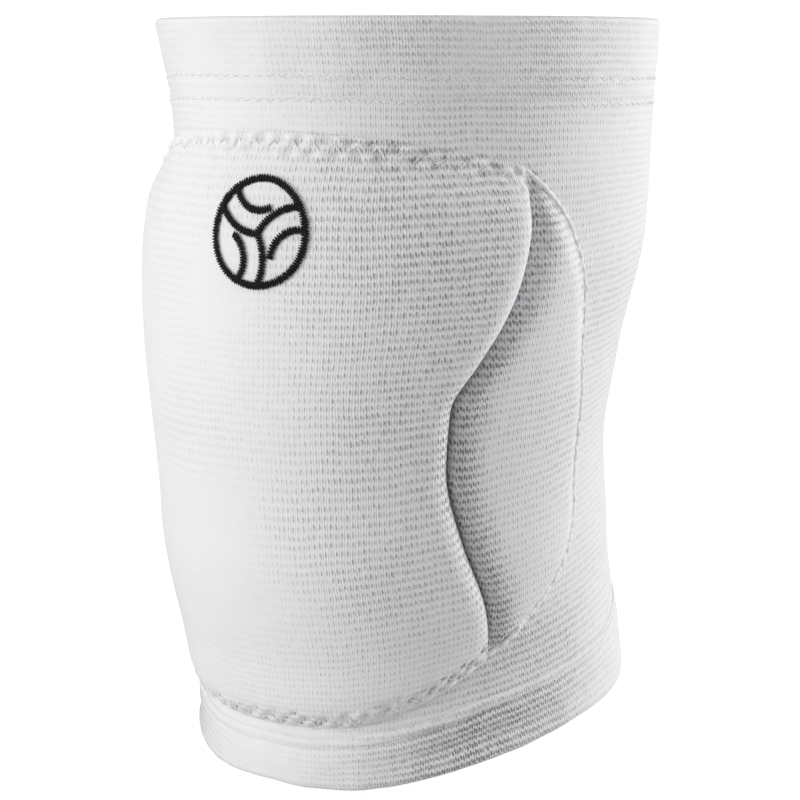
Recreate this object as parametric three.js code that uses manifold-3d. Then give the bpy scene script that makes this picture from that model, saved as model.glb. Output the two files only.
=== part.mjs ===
// A volleyball knee pad: a knitted sleeve with a folded cuff at each end, a knitted
// pocket over the front, three foam pads in the pocket and an embroidered ball.
// It has the shape that it takes on a slightly bent leg.
// Millimetres and degrees, +Z up the thigh, -Y to the front of the knee. The origin is
// in the middle of the leg's way through, level with the knee.
import * as THREE from "three";
import { mergeVertices } from "three/addons/utils/BufferGeometryUtils.js";
import Module from "manifold-3d";

// Sleeve
const LENGTH = 187; // up the leg, between the middles of the two rims
const TOP_WIDTH = 137; // across the leg at the upper rim
const TOP_DEPTH = 140; // front to back at the upper rim
const LEG_LEAN = 17; // how far the lower rim leans, front down
const KNEE_LEVEL = 84; // from the lower rim's middle up to the origin
const RIM_WAVE = 4; // how far the lower rim strays from flat
const KNIT_WALL = 2;

// Cuffs, folded double
const TOP_CUFF_HEIGHT = 20.7;
const BOTTOM_CUFF_FRONT = 12;
const BOTTOM_CUFF_BACK = 19.5;
const CUFF_WALL = 3.4;
const CUFF_STEP = 1.2; // how far the lower cuff stands proud of the sleeve

// Pads, as heights over the sleeve's outer face
const PAD_HEIGHT = 14;
const SIDE_PAD_HEIGHT = 6.6;
const COVER_WALL = 1.5;
const LIP_RADIUS = 6; // the front pad's rounded edge over the crease
const CREASE_RISE_LOW = 2.6; // how fast the side pad climbs out of the crease below the knee
const CREASE_RISE_HIGH = 9; // and above it, where the crease opens
const CREASE_OPENS = { from: 0.45, to: 0.72 }; // shares of the crease's height

// Clearances
const GAP = 0.4; // between pieces that touch
const FOAM_GAP = 0.6; // round the foam, which clears its neighbours' facets
const FOAM_INSET = 3.8; // from the crease and the seam to the foam's edge

// Embroidered ball
const BALL_RADIUS = 12;
const BALL_STROKE = 1.9;
const BALL_RELIEF = 0.7;
const BALL_AZIMUTH = 9;
const BALL_LEVEL = 0.81; // share of the way from the lower cuff to the upper

// Mesh fineness
const ROUND_STEPS = 48;
const SLEEVE_STEPS = 14;
const PAD_STEPS = 28;
const SIDE_STEPS = 9;
const PAD_ROWS = 22;
const FOAM_STEPS = 20;
const FOAM_SIDE_STEPS = 7;
const FOAM_ROWS = 15;

const KNIT_WHITE = { color: 0xe9e9ea, roughness: 0.92, metalness: 0 };
const CUFF_WHITE = { color: 0xe4e4e6, roughness: 0.94, metalness: 0 };
const FOAM_CREAM = { color: 0xded9cc, roughness: 0.85, metalness: 0 };
const THREAD_BLACK = { color: 0x17171a, roughness: 0.55, metalness: 0 };

// The leg's form. at: share of LENGTH up from the lower rim. width and depth: shares of
// the upper rim's. back: how far the middle lies behind the upper rim's, a share of
// TOP_DEPTH. lean: share of LEG_LEAN.
const LEG_SECTIONS = [
  { at: 0.0, width: 0.866, depth: 0.866, back: 0.005, lean: 1.0 },
  { at: 0.09, width: 0.854, depth: 0.854, back: -0.002, lean: 0.93 },
  { at: 0.2, width: 0.818, depth: 0.818, back: 0.003, lean: 0.95 },
  { at: 0.35, width: 0.82, depth: 0.82, back: -0.016, lean: 0.74 },
  { at: 0.5, width: 0.862, depth: 0.862, back: -0.009, lean: 0.4 },
  { at: 0.68, width: 0.93, depth: 0.93, back: 0.02, lean: 0.28 },
  { at: 0.86, width: 0.958, depth: 0.958, back: 0.016, lean: 0.0 },
  { at: 1.0, width: 1.0, depth: 1.0, back: 0.0, lean: 0.0 },
];

// The lower rim's wave. turn: degrees round from the front. rise: share of RIM_WAVE.
const RIM_WAVES = [
  { turn: 0, rise: 0.65 },
  { turn: 30, rise: 0.3 },
  { turn: 60, rise: 0.5 },
  { turn: 90, rise: 0.1 },
  { turn: 120, rise: -1.0 },
  { turn: 150, rise: -0.3 },
  { turn: 180, rise: 0.25 },
];

// The front panel's upper and lower seams. across: share of the way from the middle to
// the crease. top and bottom: shares of the way from the lower cuff to the upper.
const FRONT_SEAMS = [
  { across: 0, top: 0.95, bottom: 0.024 },
  { across: 0.38, top: 0.942, bottom: 0.028 },
  { across: 0.7, top: 0.92, bottom: 0.052 },
  { across: 1, top: 0.893, bottom: 0.098 },
];

// The crease between the front pad and a side pad, and the seam behind the side pad.
// up: share of the crease's height. crease and seam: degrees round from the front.
const CREASE_LINE = [
  { up: 0.0, crease: 62 },
  { up: 0.12, crease: 60 },
  { up: 0.27, crease: 55 },
  { up: 0.42, crease: 51 },
  { up: 0.53, crease: 51.5 },
  { up: 0.62, crease: 57 },
  { up: 0.7, crease: 61.5 },
  { up: 0.8, crease: 65 },
  { up: 0.9, crease: 67 },
  { up: 1.0, crease: 67 },
];
const SEAM_LINE = [
  { up: 0.0, seam: 62 },
  { up: 0.04, seam: 71 },
  { up: 0.1, seam: 82 },
  { up: 0.17, seam: 90.5 },
  { up: 0.25, seam: 94 },
  { up: 0.38, seam: 94.5 },
  { up: 0.47, seam: 94 },
  { up: 0.62, seam: 90 },
  { up: 0.79, seam: 84 },
  { up: 0.89, seam: 78.5 },
  { up: 0.95, seam: 73 },
  { up: 1.0, seam: 67 },
];

// A smooth curve through one column of a table, with no overshoot between its rows.
function curveThrough(rows, key, column) {
  const x = rows.map((row) => row[key]);
  const y = rows.map((row) => row[column]);
  const last = x.length - 1;
  const slope = x.slice(1).map((end, i) => (y[i + 1] - y[i]) / (end - x[i]));
  const tangent = x.map((_, i) => {
    if (i === 0) return slope[0];
    if (i === last) return slope[last - 1];
    const [before, after] = [slope[i - 1], slope[i]];
    return before * after <= 0 ? 0 : (2 * before * after) / (before + after);
  });
  return (value) => {
    const at = THREE.MathUtils.clamp(value, x[0], x[last]);
    const i = Math.min(Math.max(x.findIndex((end) => end > at) - 1, 0), last - 1);
    const j = at >= x[last] ? last - 1 : i;
    const width = x[j + 1] - x[j];
    const t = (at - x[j]) / width;
    const rise = y[j + 1] - y[j];
    const bend = t * (1 - t);
    const eased = y[j] + rise * t * t * (3 - 2 * t);
    return eased + width * bend * (tangent[j] * (1 - t) - tangent[j + 1] * t);
  };
}

const widthAt = curveThrough(LEG_SECTIONS, "at", "width");
const depthAt = curveThrough(LEG_SECTIONS, "at", "depth");
const backAt = curveThrough(LEG_SECTIONS, "at", "back");
const leanAt = curveThrough(LEG_SECTIONS, "at", "lean");
const waveAt = curveThrough(RIM_WAVES, "turn", "rise");
const frontTopAt = curveThrough(FRONT_SEAMS, "across", "top");
const frontBottomAt = curveThrough(FRONT_SEAMS, "across", "bottom");
const creaseAt = curveThrough(CREASE_LINE, "up", "crease");
const seamAt = curveThrough(SEAM_LINE, "up", "seam");
const radians = THREE.MathUtils.degToRad;

// A point at an angle round from the front, a share of LENGTH up and a height over the
// sleeve's outer face. A height below zero is inside the wall.
function place(turn, at, height) {
  const width = (widthAt(at) * TOP_WIDTH) / 2;
  const depth = (depthAt(at) * TOP_DEPTH) / 2;
  const lean = radians(leanAt(at) * LEG_LEAN);
  const [sin, cos] = [Math.sin(radians(turn)), Math.cos(radians(turn))];
  const outward = new THREE.Vector2(sin / width, cos / depth).normalize();
  const side = width * sin + outward.x * height;
  const front = depth * cos + outward.y * height;
  const wave = RIM_WAVE * waveAt(Math.abs(turn)) * (1 - at) ** 6;
  return new THREE.Vector3(
    side,
    backAt(at) * TOP_DEPTH - front * Math.cos(lean),
    at * LENGTH - KNEE_LEVEL - front * Math.sin(lean) + wave,
  );
}

// Where the cuffs meet the sleeve, as shares of LENGTH.
const upperCuffLine = 1 - TOP_CUFF_HEIGHT / LENGTH;
const backShare = (turn) => (1 - Math.cos(radians(turn))) / 2;
function lowerCuffLine(turn) {
  const extra = (BOTTOM_CUFF_BACK - BOTTOM_CUFF_FRONT) * backShare(turn);
  return (BOTTOM_CUFF_FRONT + extra) / LENGTH;
}
const panelStart = lowerCuffLine(0);
const panelShare = (share) => panelStart + (upperCuffLine - panelStart) * share;

// Pads. They are laid out by across (-1 to 1 between the creases) or out (0 at the crease
// to 1 at the seam), and by up (0 to 1).
const crownOf = (share) => Math.max(0, 1 - share ** 4);
const roundOf = (share) => Math.sqrt(1 - (1 - THREE.MathUtils.clamp(share, 0, 1)) ** 2);
const creaseLow = frontBottomAt(1);
const creaseHigh = frontTopAt(1);
const creaseLevel = (up) => creaseLow + (creaseHigh - creaseLow) * up;
const SEAM_HEIGHT = GAP + COVER_WALL;
const FRONT_FALL = 0.28; // share of the pad's height lost between its middle and its lip
const KNEE_SHARE = 0.9; // the leg's width under the pads, as a share of the upper rim's
const MM_PER_DEGREE = (Math.PI / 360) * TOP_WIDTH * KNEE_SHARE;
const SIDE_ROUNDNESS = 0.7; // how full a side pad stays towards its seam, less is fuller
const LEAST_WIDTH = 0.02; // of a side pad, at its two points

// Angle, share of LENGTH and height of a point on the front pad's cover.
function frontPoint(across, up, inset = 0) {
  const [low, high] = [frontBottomAt(Math.abs(across)), frontTopAt(Math.abs(across))];
  const level = low + (high - low) * up;
  const crease = creaseAt((level - creaseLow) / (creaseHigh - creaseLow));
  const fromCrease = (1 - Math.abs(across)) * crease * MM_PER_DEGREE - inset;
  const full = (PAD_HEIGHT - SEAM_HEIGHT) * (1 - FRONT_FALL * across * across);
  const height = SEAM_HEIGHT + full * crownOf(2 * up - 1) * roundOf(fromCrease / LIP_RADIUS);
  return { turn: across * crease, at: panelShare(level), height };
}

// The same on a side pad's cover, for the +X side.
function sidePoint(out, up, inset = 0) {
  const crease = creaseAt(up);
  const width = Math.max(LEAST_WIDTH, (seamAt(up) - crease) * MM_PER_DEGREE);
  const open = THREE.MathUtils.smoothstep(up, CREASE_OPENS.from, CREASE_OPENS.to);
  const rise = CREASE_RISE_LOW + (CREASE_RISE_HIGH - CREASE_RISE_LOW) * open;
  const climb = roundOf((out * width - inset) / Math.min(rise, width / 2));
  const fall = (1 - Math.min(1, out + inset / width) ** 3) ** SIDE_ROUNDNESS;
  const height = SEAM_HEIGHT + (SIDE_PAD_HEIGHT - SEAM_HEIGHT) * crownOf(2 * up - 1) * climb * fall;
  return { turn: crease + (seamAt(up) - crease) * out, at: panelShare(creaseLevel(up)), height };
}

// Rows and columns crowd towards the edges, where the forms bend most.
const crowdBoth = (i, steps) => Math.sin((Math.PI / 2) * ((2 * i) / steps - 1));
const CROWDING = 1.7;
const crowdStart = (i, steps) => (i / steps) ** CROWDING;
const rowAt = (j, rows) => (j / rows + (1 - Math.cos((Math.PI * j) / rows)) / 2) / 2;

// Triangles of a grid of points. Rows that pinch to one point leave no triangle there.
function gridFaces(columns, rows, pointAt, flip) {
  const faces = [];
  for (let i = 0; i < columns; i += 1) {
    for (let j = 0; j < rows; j += 1) {
      const [a, b] = [pointAt(i, j), pointAt(i + 1, j)];
      const [c, d] = [pointAt(i + 1, j + 1), pointAt(i, j + 1)];
      faces.push(flip ? [a, c, b] : [a, b, c], flip ? [a, d, c] : [a, c, d]);
    }
  }
  return faces;
}

function solidFrom(faces) {
  const real = faces.filter(
    ([a, b, c]) => a.distanceTo(b) > 1e-4 && b.distanceTo(c) > 1e-4 && c.distanceTo(a) > 1e-4,
  );
  const geometry = new THREE.BufferGeometry().setFromPoints(real.flat());
  const merged = mergeVertices(geometry, 1e-4);
  merged.computeVertexNormals();
  return merged;
}

// A slab over a grid: an outer and an inner face, closed along all four sides.
function slabFaces(columns, rows, outer, inner) {
  const wall = (steps, at) => gridFaces(steps, 1, (i, j) => (j ? inner : outer)(...at(i)), false);
  return [
    ...gridFaces(columns, rows, outer, false),
    ...gridFaces(columns, rows, inner, true),
    ...wall(columns, (i) => [columns - i, 0]),
    ...wall(columns, (i) => [i, rows]),
    ...wall(rows, (j) => [0, j]),
    ...wall(rows, (j) => [columns, rows - j]),
  ];
}

// A ring round the leg from a closed outline of points, given by turn.
function ringSolid(outlineAt, count) {
  const turnAt = (i) => ((i % ROUND_STEPS) * 360) / ROUND_STEPS - 180;
  const columns = Array.from({ length: ROUND_STEPS }, (_, i) => outlineAt(turnAt(i)));
  const pointAt = (i, j) => columns[i % ROUND_STEPS][j % count];
  return solidFrom(gridFaces(ROUND_STEPS, count, pointAt, false));
}

function sleeveSolid() {
  const outline = (turn) => {
    const low = lowerCuffLine(turn) + GAP / LENGTH;
    const high = upperCuffLine - GAP / LENGTH;
    const share = (high - low) / SLEEVE_STEPS;
    const levels = Array.from({ length: SLEEVE_STEPS + 1 }, (_, j) => low + share * j);
    const outer = levels.map((at) => place(turn, at, 0));
    const inner = levels.toReversed().map((at) => place(turn, at, -KNIT_WALL));
    return [...outer, ...inner];
  };
  return ringSolid(outline, 2 * (SLEEVE_STEPS + 1));
}

// A cuff's outline: a flat end against the sleeve and a rounded fold at the rim. rimWay is
// 1 where the rim is at the top and -1 where it is at the bottom.
const FOLD_STEPS = 3;
function cuffSolid(meetAt, rimAt, proud, rimWay) {
  const radius = CUFF_WALL / 2;
  const middle = proud - radius;
  const outline = (turn) => {
    const fold = Array.from({ length: FOLD_STEPS + 1 }, (_, k) => {
      const angle = (Math.PI * k) / FOLD_STEPS;
      const at = rimAt - (rimWay * radius * (1 - Math.sin(angle))) / LENGTH;
      return place(turn, at, middle + radius * Math.cos(angle));
    });
    const halfway = (meetAt(turn) + rimAt) / 2;
    const ends = [middle - radius, middle + radius].map((height) => place(turn, meetAt(turn), height));
    const mids = [middle - radius, middle + radius].map((height) => place(turn, halfway, height));
    const loop = [...fold, mids[0], ends[0], ends[1], mids[1]];
    return rimWay > 0 ? loop : loop.toReversed();
  };
  return ringSolid(outline, FOLD_STEPS + 5);
}

// The pocket's knitted cover: the front panel and both side panels in one shell.
function coverSolid() {
  const on = ({ turn, at, height }) => place(turn, at, height);
  const under = ({ turn, at, height }) => place(turn, at, Math.max(GAP, height - COVER_WALL));
  const front = (inset, put) => (i, j) => put(frontPoint(crowdBoth(i, PAD_STEPS), rowAt(j, PAD_ROWS), inset));
  const side = (inset, put, way) => (i, j) => {
    const point = sidePoint(crowdStart(i, SIDE_STEPS), rowAt(j, PAD_ROWS), inset);
    return put({ ...point, turn: way * point.turn });
  };
  const [frontOuter, frontInner] = [front(0, on), front(COVER_WALL, under)];
  const edge = (steps, at) => gridFaces(steps, 1, (i, j) => (j ? frontInner : frontOuter)(...at(i)), false);
  const faces = [
    ...gridFaces(PAD_STEPS, PAD_ROWS, frontOuter, false),
    ...gridFaces(PAD_STEPS, PAD_ROWS, frontInner, true),
    ...edge(PAD_STEPS, (i) => [PAD_STEPS - i, 0]),
    ...edge(PAD_STEPS, (i) => [i, PAD_ROWS]),
  ];
  for (const way of [-1, 1]) {
    const outer = side(0, on, way);
    const inner = side(COVER_WALL, under, way);
    const hem = (i, j) => (j ? inner : outer)(SIDE_STEPS, i);
    faces.push(
      ...gridFaces(SIDE_STEPS, PAD_ROWS, outer, way < 0),
      ...gridFaces(SIDE_STEPS, PAD_ROWS, inner, way > 0),
      ...gridFaces(PAD_ROWS, 1, hem, way > 0),
    );
  }
  return solidFrom(faces);
}

const FOAM_LIFT = COVER_WALL + FOAM_GAP; // from the cover's outer face down to the foam

// Where the foam lies behind its panel: from low to high up the panel, and from the
// inset at the crease to this share of the way out to the seam.
const FRONT_FOAM = { low: 0.05, high: 0.95 };
const SIDE_FOAM = { low: 0.16, high: 0.82, reach: 0.82 };

// A foam pad from a function that gives its place under the cover by column and row.
function foamSolid(columns, pointAt) {
  const outer = (i, j) => {
    const { turn, at, height } = pointAt(i, j);
    return place(turn, at, height - FOAM_LIFT);
  };
  const inner = (i, j) => {
    const { turn, at } = pointAt(i, j);
    return place(turn, at, FOAM_GAP);
  };
  return solidFrom(slabFaces(columns, FOAM_ROWS, outer, inner));
}

function frontFoamSolid() {
  const reach = 1 - FOAM_INSET / (creaseAt(0.5) * MM_PER_DEGREE);
  return foamSolid(FOAM_STEPS, (i, j) => {
    const up = FRONT_FOAM.low + (FRONT_FOAM.high - FRONT_FOAM.low) * rowAt(j, FOAM_ROWS);
    return frontPoint(reach * crowdBoth(i, FOAM_STEPS), up, FOAM_LIFT);
  });
}

function sideFoamSolid(way) {
  return foamSolid(FOAM_SIDE_STEPS, (i, j) => {
    const up = SIDE_FOAM.low + (SIDE_FOAM.high - SIDE_FOAM.low) * rowAt(j, FOAM_ROWS);
    const inset = FOAM_INSET / ((seamAt(up) - creaseAt(up)) * MM_PER_DEGREE);
    const share = crowdStart(way > 0 ? i : FOAM_SIDE_STEPS - i, FOAM_SIDE_STEPS);
    const point = sidePoint(inset + (SIDE_FOAM.reach - inset) * share, up, FOAM_LIFT);
    return { ...point, turn: way * point.turn };
  });
}

const wasm = await Module();
wasm.setup();

function toManifold(geometry) {
  const bare = mergeVertices(geometry.clone().deleteAttribute("normal").deleteAttribute("uv"), 1e-4);
  return new wasm.Manifold(
    new wasm.Mesh({
      numProp: 3,
      vertProperties: new Float32Array(bare.attributes.position.array),
      triVerts: new Uint32Array(bare.index.array),
    }),
  );
}

function toGeometry(solid) {
  const mesh = solid.getMesh();
  const geometry = new THREE.BufferGeometry();
  geometry.setAttribute("position", new THREE.BufferAttribute(mesh.vertProperties, 3));
  geometry.setIndex(new THREE.BufferAttribute(mesh.triVerts, 1));
  geometry.computeVertexNormals();
  return geometry;
}

// A flat curved stroke of the ball's drawing, as thick as the stitching is high.
function strokeSolid(centre, radius, from, to, steps) {
  const shape = new THREE.Shape();
  const [inside, outside] = [radius - BALL_STROKE / 2, radius + BALL_STROKE / 2];
  const at = (r, k) => {
    const angle = radians(from + ((to - from) * k) / steps);
    return new THREE.Vector2(centre.x + r * Math.cos(angle), centre.y + r * Math.sin(angle));
  };
  const outer = Array.from({ length: steps + 1 }, (_, k) => at(outside, k));
  const inner = Array.from({ length: steps + 1 }, (_, k) => at(inside, steps - k));
  shape.setFromPoints([...outer, ...inner]);
  return toManifold(new THREE.ExtrudeGeometry(shape, { depth: BALL_RELIEF, bevelEnabled: false }));
}

// A ball drawn with a rim and three pairs of curved panel lines.
function ballDrawing() {
  const rim = BALL_RADIUS - BALL_STROKE / 2;
  const nowhere = new THREE.Vector2(0, 0);
  const halves = [0, 180].map((from) => strokeSolid(nowhere, rim, from, from + 180.5, 12));
  let drawing = halves[0].add(halves[1]);
  for (let k = 0; k < 3; k += 1) {
    const heading = 90 + 120 * k;
    const centre = new THREE.Vector2(rim, 0).rotateAround(nowhere, radians(heading));
    drawing = drawing.add(strokeSolid(centre, rim, heading + 120, heading + 181, 5));
    drawing = drawing.add(strokeSolid(centre, 0.58 * rim, heading + 107, heading + 205, 6));
  }
  return toGeometry(drawing);
}

// The drawing laid on the front panel, each point at its height over the cover.
function emblemSolid() {
  const geometry = ballDrawing();
  const position = geometry.attributes.position;
  const centreAt = panelShare(BALL_LEVEL);
  for (let i = 0; i < position.count; i += 1) {
    const turn = BALL_AZIMUTH + position.getX(i) / MM_PER_DEGREE;
    const at = centreAt + position.getY(i) / LENGTH;
    const share = (at - panelStart) / (upperCuffLine - panelStart);
    const across = turn / creaseAt((share - creaseLow) / (creaseHigh - creaseLow));
    const [low, high] = [frontBottomAt(Math.abs(across)), frontTopAt(Math.abs(across))];
    const { height } = frontPoint(across, (share - low) / (high - low));
    const point = place(turn, at, height + GAP + position.getZ(i));
    position.setXYZ(i, point.x, point.y, point.z);
  }
  geometry.computeVertexNormals();
  return geometry;
}

function pieceFrom(name, geometry, finish) {
  const piece = new THREE.Mesh(geometry, new THREE.MeshStandardMaterial(finish));
  piece.name = name;
  return piece;
}

const kneePad = new THREE.Group();
kneePad.name = "knee_pad";
kneePad.add(
  pieceFrom("knit_sleeve", sleeveSolid(), KNIT_WHITE),
  pieceFrom("top_cuff", cuffSolid(() => upperCuffLine, 1, 0, 1), CUFF_WHITE),
  pieceFrom("bottom_cuff", cuffSolid(lowerCuffLine, 0, CUFF_STEP, -1), CUFF_WHITE),
  pieceFrom("pad_cover", coverSolid(), KNIT_WHITE),
  pieceFrom("front_foam", frontFoamSolid(), FOAM_CREAM),
  pieceFrom("side_foam_left", sideFoamSolid(-1), FOAM_CREAM),
  pieceFrom("side_foam_right", sideFoamSolid(1), FOAM_CREAM),
  pieceFrom("ball_emblem", emblemSolid(), THREAD_BLACK),
);

export default kneePad;
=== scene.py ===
"""Looks of a pull-on volleyball knee pad: a knitted sleeve with folded cuffs, a knitted
pocket with three foam pads, sewn seams and an embroidered ball.

Lengths in the sizes and tables are millimetres, angles degrees; meshes are in metres.
"""

import logging
from dataclasses import dataclass
from enum import Enum
from typing import Callable

import bmesh
import bpy
import numpy as np
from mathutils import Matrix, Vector

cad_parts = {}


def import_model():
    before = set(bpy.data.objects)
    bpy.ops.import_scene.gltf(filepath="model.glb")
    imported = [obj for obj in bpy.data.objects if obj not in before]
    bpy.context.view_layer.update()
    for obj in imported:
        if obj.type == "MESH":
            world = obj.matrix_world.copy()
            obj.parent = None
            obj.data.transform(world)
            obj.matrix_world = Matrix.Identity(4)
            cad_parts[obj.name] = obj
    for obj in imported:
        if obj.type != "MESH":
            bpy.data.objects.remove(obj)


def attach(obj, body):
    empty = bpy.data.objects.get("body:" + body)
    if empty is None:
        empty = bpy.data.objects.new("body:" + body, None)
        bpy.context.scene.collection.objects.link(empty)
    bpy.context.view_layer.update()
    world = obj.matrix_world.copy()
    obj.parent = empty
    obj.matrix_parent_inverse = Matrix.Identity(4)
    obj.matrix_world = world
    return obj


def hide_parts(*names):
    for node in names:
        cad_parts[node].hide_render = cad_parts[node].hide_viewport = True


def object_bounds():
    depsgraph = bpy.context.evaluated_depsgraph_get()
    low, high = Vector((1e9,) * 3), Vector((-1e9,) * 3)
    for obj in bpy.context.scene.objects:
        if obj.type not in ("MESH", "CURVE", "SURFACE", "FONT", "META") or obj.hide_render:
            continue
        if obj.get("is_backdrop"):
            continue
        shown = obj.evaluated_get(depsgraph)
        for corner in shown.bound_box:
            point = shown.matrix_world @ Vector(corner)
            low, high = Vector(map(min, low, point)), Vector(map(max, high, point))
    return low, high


LOG = logging.getLogger("knee_pad")
MM = 0.001
BODY = "root"
UV_NAME = "knit"
# The cloth's stretch deepens the knit's relief and darkens its pits, so it also carries painted
# shade.
STRETCH_AND_SHADE_NAME = "stretch_and_shade"
NORMAL_NAME = "cloth_normal"
WELD_DISTANCE = 1e-6
SHARP_ANGLE = 58
NOISE_CELLS = 64
MIX_SHARE, MIX_FIRST, MIX_SECOND, MIX_RESULT = 0, 6, 7, 2
BESIDE_KNEE = (60, 29)
OPENS_TO_RIGHT = (-15, 45)
OPENS_TO_LEFT = (55, 105)
CROWN_EASE = (-0.056, 0.2)
ARC_STEP = 1.5

Points = np.ndarray
Places = tuple[Points, Points, Points]
SeamPath = tuple[Points, Points]
Ramp = tuple[float, float]
Colour = tuple[float, float, float]
Curve = Callable[[Points], Points]
Socket = bpy.types.NodeSocket


class Side(Enum):
    """The two sides of the leg, as the sign of X."""

    LEFT = -1
    RIGHT = 1


class Rim(Enum):
    """Which end of the sleeve a cuff's folded rim is at."""

    TOP = 1
    BOTTOM = -1


def curve_through(stops: list[float], values: list[float]) -> Curve:
    """A smooth curve through a table's column, with no overshoot between its rows.

    Args:
        stops: where the rows are.
        values: the column's values there.

    Returns:
        A function of places along the table.
    """
    x, y = np.array(stops, float), np.array(values, float)
    slope = np.diff(y) / np.diff(x)
    tangent = np.concatenate([slope[:1], np.zeros(len(x) - 2), slope[-1:]])
    for i in range(1, len(x) - 1):
        before, after = slope[i - 1], slope[i]
        if before * after > 0:
            tangent[i] = 2 * before * after / (before + after)

    def value_at(place: Points) -> Points:
        """The curve's value, held level past its ends.

        Args:
            place: places along the table.

        Returns:
            The column's value at each place.
        """
        at = np.clip(place, x[0], x[-1])
        i = np.clip(np.searchsorted(x, at, side="right") - 1, 0, len(x) - 2)
        width = x[i + 1] - x[i]
        t = (at - x[i]) / width
        eased = y[i] + (y[i + 1] - y[i]) * t * t * (3 - 2 * t)
        return eased + width * t * (1 - t) * (tangent[i] * (1 - t) - tangent[i + 1] * t)

    return value_at


@dataclass(frozen=True)
class Table:
    """Rows of numbers under named columns, the first of which says where a row is."""

    columns: tuple[str, ...]
    rows: tuple[tuple[float, ...], ...]

    def values(self, column: str) -> list[float]:
        """One column's values, row by row."""
        k = self.columns.index(column)
        return [row[k] for row in self.rows]

    def curve(self, column: str) -> Curve:
        """The smooth curve of one column over the first."""
        return curve_through([row[0] for row in self.rows], self.values(column))


LEG_SECTIONS = Table(
    ("at", "width", "back", "lean"),
    (
        (0.0, 0.866, 0.005, 1.0),
        (0.09, 0.854, -0.002, 0.93),
        (0.2, 0.818, 0.003, 0.95),
        (0.35, 0.82, -0.016, 0.74),
        (0.5, 0.862, -0.009, 0.4),
        (0.68, 0.93, 0.02, 0.28),
        (0.86, 0.958, 0.016, 0.0),
        (1.0, 1.0, 0.0, 0.0),
    ),
)
RIM_WAVES = Table(
    ("turn", "rise"),
    ((0, 0.65), (30, 0.3), (60, 0.5), (90, 0.1), (120, -1.0), (150, -0.3), (180, 0.25)),
)
FRONT_SEAMS = Table(
    ("across", "top", "bottom"),
    ((0, 0.95, 0.024), (0.38, 0.942, 0.028), (0.7, 0.92, 0.052), (1, 0.893, 0.098)),
)
CREASE_LINE = Table(
    ("up", "crease"),
    (
        (0.0, 62), (0.12, 60), (0.27, 55), (0.42, 51), (0.53, 51.5),
        (0.62, 57), (0.7, 61.5), (0.8, 65), (0.9, 67), (1.0, 67),
    ),
)
SEAM_LINE = Table(
    ("up", "seam"),
    (
        (0.0, 62), (0.04, 71), (0.1, 82), (0.17, 90.5), (0.25, 94), (0.38, 94.5),
        (0.47, 94), (0.62, 90), (0.79, 84), (0.89, 78.5), (0.95, 73), (1.0, 67),
    ),
)
HEM_RELIEF = Table(
    ("past", "rise"),
    (
        (0, -0.1), (0.6, 0), (1.5, -0.07), (2.6, 0.08),
        (4.3, 0.06), (5.3, -0.08), (6.6, 0.08), (11, 0),
    ),
)
ROLL_RELIEF = Table(
    ("past", "rise"), ((0, -1.18), (1.4, -1.0), (3, -0.6), (5, -0.15), (7, 0))
)
CREASE_LOW = FRONT_SEAMS.values("bottom")[-1]
CREASE_HIGH = FRONT_SEAMS.values("top")[-1]


def front_edges(across: Points) -> tuple[Points, Points]:
    """The front panel's lower and upper seam, as shares of the panel's height."""
    off = np.abs(across)
    return FRONT_SEAMS.curve("bottom")(off), FRONT_SEAMS.curve("top")(off)


def side_edges(up: Points) -> tuple[Points, Points]:
    """How far round the crease and the side seam are, by share up the crease."""
    return CREASE_LINE.curve("crease")(up), SEAM_LINE.curve("seam")(up)


def crease_turn(level: Points) -> Points:
    """How far round the crease is, by share of the panel's height."""
    return CREASE_LINE.curve("crease")((level - CREASE_LOW) / (CREASE_HIGH - CREASE_LOW))


def smooth_step(value: Points, low: float, high: float) -> Points:
    """0 below low, 1 above high and an even ease between."""
    t = np.clip((value - low) / (high - low), 0, 1)
    return t * t * (3 - 2 * t)


def bell(value: Points, middle: float, width: float) -> Points:
    """1 at the middle, falling evenly on both sides."""
    return np.exp(-(((value - middle) / width) ** 2))


def quarter_round(share: Points) -> Points:
    """A quarter circle's rise, from 0 to 1."""
    return np.sqrt(1 - (1 - np.clip(share, 0, 1)) ** 2)


def crown(share: Points) -> Points:
    """A pad's height from edge to edge, as a share of its full height."""
    return np.maximum(0, 1 - share**4) * smooth_step(1 - share, *CROWN_EASE)


def off_front(turn: Points) -> Points:
    """Degrees away from the front, either way round."""
    return np.abs((turn + 180) % 360 - 180)


def beside_knee(turn: Points) -> Points:
    """1 beside the knee's front, where the cuffs are pulled most and the knit's pits get the most
    painted shade, and 0 away from it.
    """
    return bell(off_front(turn), *BESIDE_KNEE)


def opened(turn: Points) -> Points:
    """0 left of the front, where the knit lies closed and faces the left lamp, and 1 round the rest
    of the leg, where its pits get more painted shade.
    """
    return smooth_step(turn, *OPENS_TO_RIGHT) + smooth_step(-turn, *OPENS_TO_LEFT)


def soft_noise(across: Points, along: Points, size: float, seed: int) -> Points:
    """Smooth unevenness from -1 to 1, the same on every run.

    Args:
        across: places across the cloth, in millimetres.
        along: places along the cloth, in millimetres.
        size: how wide a swell is.
        seed: which pattern.

    Returns:
        The unevenness at each place.
    """
    cells = NOISE_CELLS
    grid = np.random.default_rng(seed).uniform(-1, 1, (cells, cells))
    x, y = across / size % cells, along / size % cells
    i, j = np.floor(x).astype(int), np.floor(y).astype(int)
    u, v = smooth_step(x - i, 0, 1), smooth_step(y - j, 0, 1)
    left, right, low, high = i % cells, (i + 1) % cells, j % cells, (j + 1) % cells
    under = grid[left, low] * (1 - u) + grid[right, low] * u
    over = grid[left, high] * (1 - u) + grid[right, high] * u
    return under * (1 - v) + over * v


@dataclass(frozen=True)
class Mottle:
    """Soft unevenness: its strength, how wide a swell is in millimetres, and its seed."""

    strength: float
    size: float
    seed: int

    def at(self, across: Points, along: Points) -> Points:
        """How far off even each place on the cloth is."""
        return self.strength * soft_noise(across, along, self.size, self.seed)


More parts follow.
